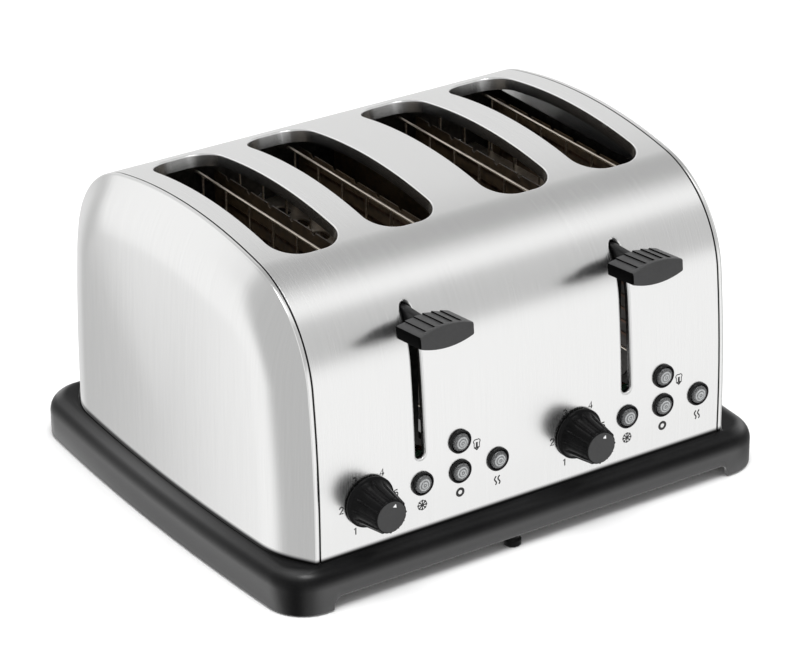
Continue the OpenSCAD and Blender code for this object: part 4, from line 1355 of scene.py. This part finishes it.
            # painted sheen on the lower walls, lightest on the front and rear
            self._gloss_and_sheen(bm, edges, flanks, (0.6, 1.0, 0.0))
        start_z = self.height - self.edge_r
        for *gloss, angle in self.gloss:
            turn = math.radians(angle)
            inset = self.edge_r * (1.0 - math.cos(turn))
            z = start_z + self.edge_r * math.sin(turn)
            edges = draw_out(bm, edges, lambda i: self._inward(starts[i], inset) + UP * z)
            self._gloss_and_sheen(bm, edges, flanks, gloss)
        rim = ((self.gap + 0.5, 0.0), (self.gap + 0.1, -0.2), (self.gap, -0.5), (self.gap, -self.recess))
        for gap, z in rim:
            edges = draw_out(bm, edges, lambda i: self._to_body(starts[i], gap) + UP * (self.height + z))
        seat_z = self.height - self.recess
        edges = draw_out(bm, edges, lambda i: self._to_body(starts[i], -5.0) + UP * seat_z)
        bmesh.ops.bridge_loops(bm, edges=list(edges) + list(first))
        self._mouths(bm)
        face_out(bm)
        piece = place_piece(bm, "base_moulding", "housing", BASE, ("base_tray",), sharp=40.0)
        piece.visible_glossy = False
        return piece


@dataclass
class LiftLever:
    """A lever pad with overlapping planks on top, and the arm that comes through the slot."""

    layout: FrontLayout
    side: Side
    width: float = 36.7
    height: float = 14.0
    end_h: float = 7.2
    length: float = 26.0
    front_y: float = -163.2
    centre_z: float = 162.5
    slope: float = 6.0
    planks: int = 6
    step: float = 0.8
    arm_z: float = 160.0

    def _profile(self) -> list[tuple[float, float, float]]:
        """X, Z and share of the plank's step of the points round the pad's face.

        Returns:
            The points in order.
        """
        rise = (self.height - self.end_h) / 2.0
        radius = (self.width**2 / 4.0 + rise**2) / (2.0 * rise)
        half = self.width / 2.0

        def top(x: float) -> float:
            """Height of the upper arc."""
            return math.sqrt(radius**2 - x**2) - radius + self.height / 2.0

        points = []
        pitch = self.width / self.planks
        corner = 1.0
        for k in range(self.planks):
            last = k == self.planks - 1
            left = -half + k * pitch + (corner if k == 0 else 0.05)
            right = -half + (k + 1) * pitch - (corner if last else 0.05)
            for part in (0.0, 0.35, 0.7, 1.0):
                x = left + (right - left) * part
                points.append((x, top(x), 0.0 if last else part))
        edge = top(half - corner)
        end = [(half - 0.3, edge - 0.35), (half, edge - 1.1), (half, 0.0)]
        end += [(half, 1.1 - edge), (half - 0.3, 0.35 - edge)]
        under = [half - corner - (self.width - 2 * corner) * k / 16 for k in range(17)]
        points += [(x, z, 0.0) for x, z in end]
        points += [(x, -top(x), 0.0) for x in under]
        points += [(-x, z, 0.0) for x, z in reversed(end)]
        return points

    def _pad(self) -> BMesh:
        """The pad, drawn back from its front face.

        Returns:
            The mesh.
        """
        bm = bmesh.new()
        bm.verts.layers.int.new("home")
        points = self._profile()

        def spot(i: int, y: float, inset: float, cut: float) -> Vector:
            """Place of a point at a depth, drawn in from the face's edge."""
            x, z, drop = points[i]
            keep_x = 1.0 - inset / (self.width / 2.0)
            keep_z = 1.0 - inset / (self.height / 2.0)
            return Vector((x * keep_x, y, (z - drop * self.step * cut) * keep_z))

        verts = chain(bm, [spot(i, 0.0, 1.0, 0.0) for i in range(len(points))], closed=True)
        number(bm, verts)
        first = bm.edges[:]
        edges = first
        rear = self.length - 1.0
        rows = (
            (0.1, 0.5, 0.0), (0.4, 0.15, 0.0), (1.0, 0.0, 0.0), (2.6, 0.0, 0.0), (3.4, 0.0, 0.55),
            (4.4, 0.0, 1.0), (14.0, 0.0, 1.0), (rear - 0.4, 0.0, 1.0), (rear, 0.35, 1.0),
        )
        for y, inset, cut in rows:
            edges = draw_out(bm, edges, lambda i: spot(i, y, inset, cut))
        close_ends(bm, first, edges)
        turn = Matrix.Rotation(math.radians(-self.slope), 4, "X")
        move = Matrix.Translation((self.layout.lever(self.side), self.front_y, self.centre_z))
        bmesh.ops.transform(bm, matrix=move @ turn, verts=bm.verts[:])
        return bm

    def _arm(self) -> BMesh:
        """The black arm from the slot to the pad.

        Returns:
            The mesh.
        """
        bm = bmesh.new()
        bm.verts.layers.int.new("home")
        loop = rounded_loop(bm, 4.8, 8.8, 1.4, 5)
        number(bm, loop)
        flat = [v.co.copy() for v in loop]
        first = bm.edges[:]
        rows = (
            (self.front_y + 14.0, 1.15), (self.front_y + 20.0, 1.1), (-140.0, 1.0),
            (-134.0, 1.0), (-120.0, 1.0), (-112.0, 0.9),
        )
        x = self.layout.lever(self.side)

        def spot(i: int, y: float, keep: float) -> Vector:
            """Place of a point of the arm's section."""
            return Vector((x + flat[i].x * keep, y, self.arm_z + flat[i].y * keep))

        for index, vert in enumerate(loop):
            vert.co = spot(index, *rows[0])
        edges = first
        for row in rows[1:]:
            edges = draw_out(bm, edges, lambda i: spot(i, *row))
        close_ends(bm, first, edges)
        return bm

    def build(self) -> None:
        """Makes the pad and the arm."""
        name = self.side.value
        body = f"{name}_lift"
        pad = place_piece(self._pad(), f"{name}_pad_moulding", body, PAD, (f"{name}_lever_pad",), sharp=28.0)
        pad.data.materials.append(PAD_END_SHADE.material())
        # painted shade on both ends of the pad
        for face in pad.data.polygons:
            if abs(face.normal.x) > 0.6:
                face.material_index = 1
        place_piece(self._arm(), f"{name}_lever_arm", body, ARM)


@dataclass
class BrowningKnob:
    """A knob: stepped skirt, fluted cone, flat face with a pointer."""

    layout: FrontLayout
    side: Side
    back_y: float = -137.5
    skirt_d: float = 32.0
    front_d: float = 21.0
    length: float = 23.0
    flutes: int = 12
    flute_depth: float = 1.3
    pointer: float = 20.0
    grip_z: float = 3.1
    ridge_deg: float = 1.8

    def _scoop(self, angle: float, z: float) -> float:
        """How deep the grip is scooped between its ridges.

        Args:
            angle: about the knob's axis.
            z: height above the knob's back.

        Returns:
            Depth below the cone.
        """
        part = (angle / (2.0 * math.pi) * self.flutes) % 1.0
        away = min(part, 1.0 - part) * 360.0 / self.flutes
        panel = math.sin(math.pi * part)
        foot = min(1.0, max(0.0, z - self.grip_z - 1.3 * (1.0 - panel)))
        depth = self.flute_depth * (1.0 - 0.4 * z / self.length) * (1.0 - 0.45 * panel)
        return depth * foot * (1.0 - math.exp(-((away / self.ridge_deg) ** 2)))

    def build(self) -> None:
        """Makes the knob, its face and its pointer."""
        name = self.side.value
        r = self.skirt_d / 2.0
        f = self.front_d / 2.0
        profile = [(3.0, -18.0), (3.0, 0.0), (r - 0.6, 0.0), (r - 0.15, 0.15), (r, 0.6), (r, 1.3)]
        profile += [(r - 0.2, 1.75), (r - 0.7, 2.0), (r - 1.3, 2.1), (r - 1.55, 2.3)]
        profile += [(r - 1.7, 2.8), (r - 2.0, 3.4)]
        profile += [(r - 2.0 + (f + 0.8 - r + 2.0) * k / 6.0, 3.4 + 18.0 * k / 6.0) for k in range(1, 7)]
        profile += [(f + 0.55, 22.0), (f + 0.2, 22.5), (f - 0.4, 22.6)]
        bm = turned([(0.0, -18.0)] + profile + [(0.0, 22.6)], 288)
        for vert in bm.verts:
            radius = math.hypot(vert.co.x, vert.co.y)
            if radius > f - 1.0 and vert.co.z > 2.9:
                keep = 1.0 - self._scoop(math.atan2(vert.co.y, vert.co.x), vert.co.z) / radius
                vert.co.x *= keep
                vert.co.y *= keep
        x = self.layout.knob(self.side)
        to_front(bm, x, self.back_y, self.layout.row_z)
        place_piece(bm, f"{name}_knob_moulding", f"{name}_knob", KNOB, (f"{name}_knob",), sharp=40.0)
        face = turned([(0.0, 22.4), (f - 0.9, 22.4), (f - 0.9, 22.8), (f - 1.2, 23.0), (0.0, 23.0)], 96)
        to_front(face, x, self.back_y, self.layout.row_z)
        place_piece(face, f"{name}_knob_face", f"{name}_knob", KNOB_FACE)
        mark = bmesh.new()
        made = bmesh.ops.create_circle(mark, cap_ends=True, segments=3, radius=1.5)
        bevel(mark, made["verts"], 0.25, 3, "VERTICES")
        grown = bmesh.ops.extrude_face_region(mark, geom=mark.faces[:])
        lifted = [v for v in grown["geom"] if isinstance(v, BMVert)]
        bmesh.ops.translate(mark, vec=(0.0, 0.0, 0.12), verts=lifted)
        face_out(mark)
        turn = Matrix.Rotation(-math.radians(self.pointer), 4, "Z")
        move = Matrix.Translation((0.0, f - 3.6, 22.95))
        bmesh.ops.transform(mark, matrix=turn @ move, verts=mark.verts[:])
        to_front(mark, x, self.back_y, self.layout.row_z)
        place_piece(mark, f"{name}_knob_pointer", f"{name}_knob", WHITE_INK)


@dataclass
class ButtonSet:
    """The bezels and lens caps of one half."""

    outline: ShellOutline
    layout: FrontLayout
    side: Side
    bezel_d: float = 15.0
    cap_d: float = 11.4
    stem_z: float = -14.6

    def _seat(self, z: float) -> float:
        """Y of the bezel's seat at a height."""
        return self.outline.front_y(z - self.bezel_d / 2.0) - 0.1

    def build(self) -> None:
        """Makes the bezels as one piece and each cap."""
        name = self.side.value
        r = self.bezel_d / 2.0
        bore = self.cap_d / 2.0 + 0.25
        ring = [(bore, -6.0), (bore + 1.0, -6.0), (bore + 1.0, 0.0), (r - 0.1, 0.0), (r, 0.15), (r, 0.7)]
        ring += [(r - 0.1, 1.05), (r - 0.3, 1.3), (r - 0.6, 1.4), (r - 0.85, 1.36), (bore + 0.4, 0.95)]
        ring += [(bore + 0.1, 0.7), (bore, 0.4), (bore, -6.0)]
        group = bmesh.new()
        for button in Button:
            x, z = self.layout.button(self.side, button)
            one = turned(ring, 64)
            to_front(one, x, self._seat(z), z)
            mesh = bpy.data.meshes.new("bezel")
            one.to_mesh(mesh)
            one.free()
            group.from_mesh(mesh)
            bpy.data.meshes.remove(mesh)
        place_piece(group, f"{name}_bezel_rings", "housing", BEZEL, (f"{name}_button_bezels",), sharp=40.0)
        for button in Button:
            self._cap(button)

    def _cap(self, button: Button) -> None:
        """Makes one lens cap.

        Args:
            button: which one.
        """
        c = self.cap_d / 2.0
        rows = [(0.0, self.stem_z), (2.0, self.stem_z), (2.0, -5.0), (c, -5.0), (c, 1.0)]
        rows += [(c - 0.15, 1.5), (c - 0.5, 1.85)]
        for k in range(1, 25):
            part = 1.0 - k / 24.0
            dome = 1.9 + 1.3 * (1.0 - part**2) + 0.09 * math.sin(k * 2.0 * math.pi / 6.0)
            rows.append((part * (c - 0.6), dome))
        bm = turned(rows, 56)
        ring = bm.verts.layers.float.new("ring")
        for vert in bm.verts:
            vert[ring] = math.hypot(vert.co.x, vert.co.y) / c if vert.co.z > 0.9 else 1.0
        x, z = self.layout.button(self.side, button)
        to_front(bm, x, self._seat(z), z)
        name = f"{self.side.value}_{button.value}"
        place_piece(bm, f"{name}_lens", f"{name}_button", CAP, (f"{name}_button",), sharp=50.0)


@dataclass
class FrontPrint:
    """Dial numbers and function signs, printed on the front."""

    outline: ShellOutline
    layout: FrontLayout
    side: Side
    dial_r: float = 18.8
    digit_h: float = 4.4
    digit_line: float = 0.8
    film: float = 0.05
    frost: Point = (0.4, 42.3)
    bagel: Point = (27.2, 42.6)
    heat: Point = (53.7, 39.6)
    stop: Point = (39.2, 71.0)

    def _digits(self, bm: BMesh) -> None:
        """Adds the numbers round the knob.

        Args:
            bm: the print, flat with X across and Y up.
        """
        for index, line in enumerate(DIGITS):
            angle = math.radians(-150.0 + 60.0 * index)
            x = self.layout.knob(self.side) + self.dial_r * math.sin(angle)
            z = self.layout.row_z - 0.8 + self.dial_r * math.cos(angle)
            points = [(x + a * self.digit_h, z + b * self.digit_h) for a, b in line]
            self._stroke(bm, points, self.digit_line)

    def _stroke(self, bm: BMesh, points: Sequence[Point], width: float, closed: bool = False) -> None:
        """Adds a line of one width.

        Args:
            bm: the print.
            points: that it passes.
            width: of the line.
            closed: whether it is a ring.
        """
        flat = [Vector((x, z, 0.0)) for x, z in points]
        count = len(flat)
        offs = []
        for i in range(count):
            before = flat[(i - 1) % count] if closed or i else flat[i]
            after = flat[(i + 1) % count] if closed or i < count - 1 else flat[i]
            way = (after - before).normalized()
            offs.append(Vector((-way.y, way.x, 0.0)) * width / 2.0)
        old = set(bm.edges)
        verts = chain(bm, [p + o for p, o in zip(flat, offs)], closed)
        number(bm, verts)
        edges = [e for e in bm.edges if e not in old]
        draw_out(bm, edges, lambda i: flat[i] - offs[i])

    def _signs(self, bm: BMesh) -> None:
        """Adds the four function signs.

        Args:
            bm: the print.
        """
        lever = self.layout.lever(self.side)
        x, z = lever + self.frost[0], self.frost[1]
        for k in range(4):
            angle = math.pi * k / 4.0
            arm = Vector((math.cos(angle), math.sin(angle))) * 3.5
            self._stroke(bm, [(x - arm.x, z - arm.y), (x + arm.x, z + arm.y)], 0.7)
        for k in range(8):
            angle = math.pi * k / 4.0
            root = Vector((math.cos(angle), math.sin(angle))) * 2.1
            tips = [Vector((math.cos(angle + turn), math.sin(angle + turn))) * 3.3 for turn in (-0.3, 0.3)]
            barb = [(x + p.x, z + p.y) for p in (tips[0], root, tips[1])]
            self._stroke(bm, barb, 0.6)
        ring = [2.0 * math.pi * k / 40.0 for k in range(40)]
        x, z = lever + self.bagel[0], self.bagel[1]
        self._stroke(bm, [(x + 2.2 * math.cos(a), z + 2.2 * math.sin(a)) for a in ring], 1.65, True)
        x, z = lever + self.heat[0], self.heat[1]
        for dx in (-1.0, 1.0):
            wave = [(x + 1.25 * dx + 0.7 * math.sin(k * 0.58), z + k * 0.48) for k in range(13)]
            self._stroke(bm, wave, 0.9)
        x, z = lever + self.stop[0], self.stop[1]
        slice_line = [(-1.9, -2.6), (1.9, -2.6), (1.9, 0.4), (2.4, 1.1), (2.2, 2.0), (1.5, 2.6)]
        slice_line += [(-1.5, 2.6), (-2.2, 2.0), (-2.4, 1.1), (-1.9, 0.4)]
        self._stroke(bm, [(x + a, z + b) for a, b in slice_line], 0.6, True)
        self._stroke(bm, [(x, z + 0.9), (x, z - 3.0)], 1.3)
        self._stroke(bm, [(x - 1.5, z - 2.3), (x, z - 4.0), (x + 1.5, z - 2.3)], 1.1)

    def build(self) -> None:
        """Makes the print of one half and lays it on the wall."""
        bm = bmesh.new()
        bm.verts.layers.int.new("home")
        self._digits(bm)
        self._signs(bm)
        face_out(bm)
        for face in bm.faces:
            if face.normal.z < 0.0:
                face.normal_flip()
        for vert in bm.verts:
            run = self.outline.run_at_height(vert.co.y)
            point, out = self.outline.at(-run)
            vert.co = Vector((vert.co.x, point.x + out.x * self.film, point.y + out.y * self.film))
        place_piece(bm, f"{self.side.value}_front_print", "housing", INK)


@dataclass
class ReturnSpring:
    """A coil spring on a guide rod, which on the toaster shortens as its lift goes down; this one is wound
    at one length on the housing.
    """

    layout: FrontLayout
    side: Side
    rod_y: float = -104.2
    radius: float = 3.9
    wire: float = 1.2
    turns: int = 14
    low: float = 26.2
    high: float = 136.1
    keep: float = 0.28
    seat_m: float = 0.0255

    def build(self) -> None:
        """Winds the wire."""
        bm = bmesh.new()
        made = bmesh.ops.create_circle(bm, cap_ends=True, segments=10, radius=self.wire / 2.0)
        upright = Matrix.Rotation(math.pi / 2.0, 3, "X")
        bmesh.ops.rotate(bm, cent=(0, 0, 0), matrix=upright, verts=made["verts"])
        bmesh.ops.translate(bm, vec=(self.radius, 0.0, self.low), verts=made["verts"])
        steps = self.turns * 28
        rise = (self.high - self.low) / steps
        bmesh.ops.spin(
            bm, geom=bm.faces[:], cent=(0, 0, 0), axis=(0, 0, 1), dvec=(0, 0, rise),
            angle=self.turns * 2.0 * math.pi, steps=steps, use_merge=False, use_duplicate=False,
        )
        face_out(bm)
        bmesh.ops.translate(bm, vec=(self.layout.lever(self.side), self.rod_y, 0.0), verts=bm.verts[:])
        name = self.side.value
        spring = place_piece(bm, f"{name}_coil", "housing", ROD_IN_SHADE, (f"{name}_return_spring",))
        anchor = (self.layout.lever(self.side) * MM, (self.rod_y + FRAME_Y) * MM, self.seat_m)
        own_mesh(spring)


@dataclass
class Underpinning:
    """The pieces that carry over from the frame, softened or dressed where they are."""

    edge: float = 0.0003

    def soften(self, node: str, finish: Finish) -> bpy.types.Object:
        """Stands a copy with broken edges in a node's place.

        Args:
            node: the CAD node.
            finish: its material.

        Returns:
            The piece.
        """
        source = frame["nodes"][node]
        bm = bmesh.new()
        bm.from_mesh(source.data)
        bmesh.ops.remove_doubles(bm, verts=bm.verts[:], dist=1e-6)
        bmesh.ops.dissolve_limit(bm, angle_limit=0.01, verts=bm.verts[:], edges=bm.edges[:])
        corners = [e for e in bm.edges if len(e.link_faces) == 2 and e.calc_face_angle(0.0) > 0.7]
        bevel(bm, corners, self.edge, 2, "EDGES")
        bmesh.ops.scale(bm, vec=(1.0 / MM,) * 3, verts=bm.verts[:])
        bmesh.ops.translate(bm, vec=(0.0, -FRAME_Y, 0.0), verts=bm.verts[:])
        return place_piece(bm, f"{node}_form", source["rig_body"], finish, (node,))

    def dress(self, node: str, finish: Finish) -> None:
        """Gives a CAD node its finish.

        Args:
            node: the CAD node.
            finish: its material.
        """
        mesh = frame["nodes"][node].data
        if not mesh.materials:
            mesh.materials.append(finish.material())
        for index in range(len(mesh.materials)):
            mesh.materials[index] = finish.material()
        LOG.info("%s: dressed as %s", node, finish.name)

    def build(self) -> None:
        """Softens the trays and dresses what else shows from the frame."""
        for side in Side:
            tray = self.soften(f"{side.value}_crumb_tray", TRAY)
            tray.visible_glossy = False
        plain = (CHASSIS_IN_SHADE, WIRE, BASE, RUBBER, MICA, RIBBON, BOARD, POT, WINDING, IVORY)
        by_slot = {finish.slot: finish for finish in plain}
        slots = {part["node"]: part["material_slot"] for part in frame["record"]["subparts"]}
        for node, thing in frame["nodes"].items():
            if not thing.hide_render:
                self.dress(node, ROD_IN_SHADE if node.endswith("guide_rod") else by_slot[slots[node]])
        for node in ("bottom_plate", "foot_pads", "front_foot", "bottom_screws"):
            frame["nodes"][node].visible_glossy = False


@dataclass(frozen=True)
class Panel:
    """A soft panel of light or shade: angle of its middle, half width, and lean with height, in degrees."""

    middle: float
    half: float
    level: float
    edge: float = 6.0
    lean: float = 0.0


@dataclass(frozen=True)
class Screen:
    """An even screen with soft panels on it."""

    ground: float
    panels: tuple[Panel, ...]


@dataclass
class Studio:
    """Floor, light and camera."""

    lens: float = 162.2
    place: tuple[float, float, float] = (-1.1040, -1.6496, 1.0561)
    heading: float = 33.74
    pitch: float = 26.04
    roll: float = -0.28
    glint: tuple[float, float, float] = (-0.04, -0.25, 0.967)
    along: Screen = Screen(0.8, (
        Panel(-18.0, 22.0, 1.05, 8.0),
        Panel(30.0, 22.0, 0.6),
        Panel(65.0, 9.0, 1.05),
        Panel(106.0, 20.0, 0.45, 8.0),
    ))
    left: Screen = Screen(0.57, (Panel(130.0, 20.0, 1.05, 10.0, -25.0), Panel(-121.0, 13.0, 1.0, 8.0)))
    right: Screen = Screen(0.62, (Panel(18.0, 9.0, 0.9),))
    left_blend: Point = (-0.32, 0.08)
    right_blend: Point = (0.62, 0.9)
    glint_edge: Point = (0.965, 0.992)
    glint_level: float = 4.0

    def camera(self) -> None:
        """Sets the camera where the photograph was taken from."""
        data = bpy.data.cameras.new("camera")
        data.lens = self.lens
        data.sensor_width = 36.0
        data.sensor_fit = "HORIZONTAL"
        data.clip_end = 50.0
        eye = add_object("camera", data)
        turn = Matrix.Rotation(-math.radians(self.heading), 4, "Z")
        turn = turn @ Matrix.Rotation(math.radians(90.0 - self.pitch), 4, "X")
        turn = turn @ Matrix.Rotation(math.radians(self.roll), 4, "Z")
        eye.matrix_world = Matrix.Translation(self.place) @ turn
        bpy.context.scene.camera = eye

    def floor(self) -> None:
        """Lays a wide pale floor that the steel doesn't mirror."""
        bm = bmesh.new()
        bmesh.ops.create_grid(bm, x_segments=2, y_segments=2, size=6.0)
        mesh = bpy.data.meshes.new("floor")
        bm.to_mesh(mesh)
        bm.free()
        pale = Finish("pale_floor", "", (0.9, 0.9, 0.9, 1), (0.92, 0.92, 0.92, 1), 0.9)
        mesh.materials.append(pale.material())
        ground = add_object("floor", mesh)
        ground.visible_glossy = False

    def world(self) -> None:
        """Surrounds the toaster with screens and soft panels, and one small lamp overhead."""
        room = bpy.data.worlds.new("studio")
        room.use_nodes = True
        bpy.context.scene.world = room
        graph = Graph(room.node_tree)
        way = graph.node("ShaderNodeTexCoord", output="Generated")
        split = graph.node("ShaderNodeSeparateXYZ", inputs={0: way})
        x, y, z = (Signal(graph, split.socket.node, axis) for axis in range(3))
        climb = graph.math("ARCTAN2", z, -y) * DEGREES
        around = graph.math("ARCTAN2", y, x) * DEGREES
        rise = graph.math("ARCSINE", z) * DEGREES
        along = self._hang(graph, self.along, climb, z)
        left = self._hang(graph, self.left, around, z)
        right = self._hang(graph, self.right, rise, z)
        colour = graph.mix(1.0 - graph.fade(x, *self.left_blend), along, left)
        colour = graph.mix(graph.fade(x, *self.right_blend), colour, right)
        inputs = {0: way, 1: self.glint}
        toward = graph.node("ShaderNodeVectorMath", {"operation": "DOT_PRODUCT"}, inputs, "Value")
        lamp = (self.glint_level, self.glint_level, self.glint_level, 1.0)
        colour = graph.mix(graph.fade(toward, *self.glint_edge), colour, lamp)
        sky = graph.node("ShaderNodeBackground", inputs={"Color": colour, "Strength": 1.0})
        graph.node("ShaderNodeOutputWorld", inputs={"Surface": sky})

    def _hang(self, graph: Graph, screen: Screen, angle: Signal, height: Signal) -> Feed:
        """Hangs the panels of a screen.

        Args:
            graph: the world's graph.
            screen: what is hung.
            angle: of a direction, in degrees.
            height: of that direction.

        Returns:
            The light from each direction.
        """
        tone: Feed = (screen.ground, screen.ground, screen.ground, 1.0)
        for panel in screen.panels:
            away = graph.math("ABSOLUTE", angle - (height * panel.lean + panel.middle))
            past = graph.fade(away, panel.half - panel.edge, panel.half + panel.edge)
            tone = graph.mix(past, (panel.level, panel.level, panel.level, 1.0), tone)
        return tone

    def lights(self) -> None:
        """Hangs a wide soft light that isn't seen in the steel."""
        data = bpy.data.lights.new("overhead", "AREA")
        data.shape = "RECTANGLE"
        data.size = 2.6
        data.size_y = 2.2
        data.energy = 60.0
        lamp = add_object("overhead", data)
        turn = Matrix.Rotation(math.radians(10.0), 4, "X")
        lamp.matrix_world = Matrix.Translation((-0.3, -0.4, 2.4)) @ turn
        lamp.visible_glossy = False

    def build(self) -> None:
        """Sets the stage."""
        self.camera()
        self.floor()
        self.world()
        self.lights()
        bpy.context.scene.view_settings.view_transform = "Standard"


def main() -> None:
    """Builds the toaster piece by piece."""
    logging.basicConfig(level=logging.INFO, format="%(message)s")
    Studio().build()
    outline = ShellOutline()
    layout = FrontLayout()
    WrapSheet(outline, layout).build()
    for side in Side:
        EndCover(outline, side).build()
    BaseMoulding(EndCover(outline, Side.RIGHT)).build()
    for side in Side:
        LiftLever(layout, side).build()
        BrowningKnob(layout, side).build()
        ButtonSet(outline, layout, side).build()
        FrontPrint(outline, layout, side).build()
        ReturnSpring(layout, side).build()
    Underpinning().build()


if __name__ == "__main__":
    main()
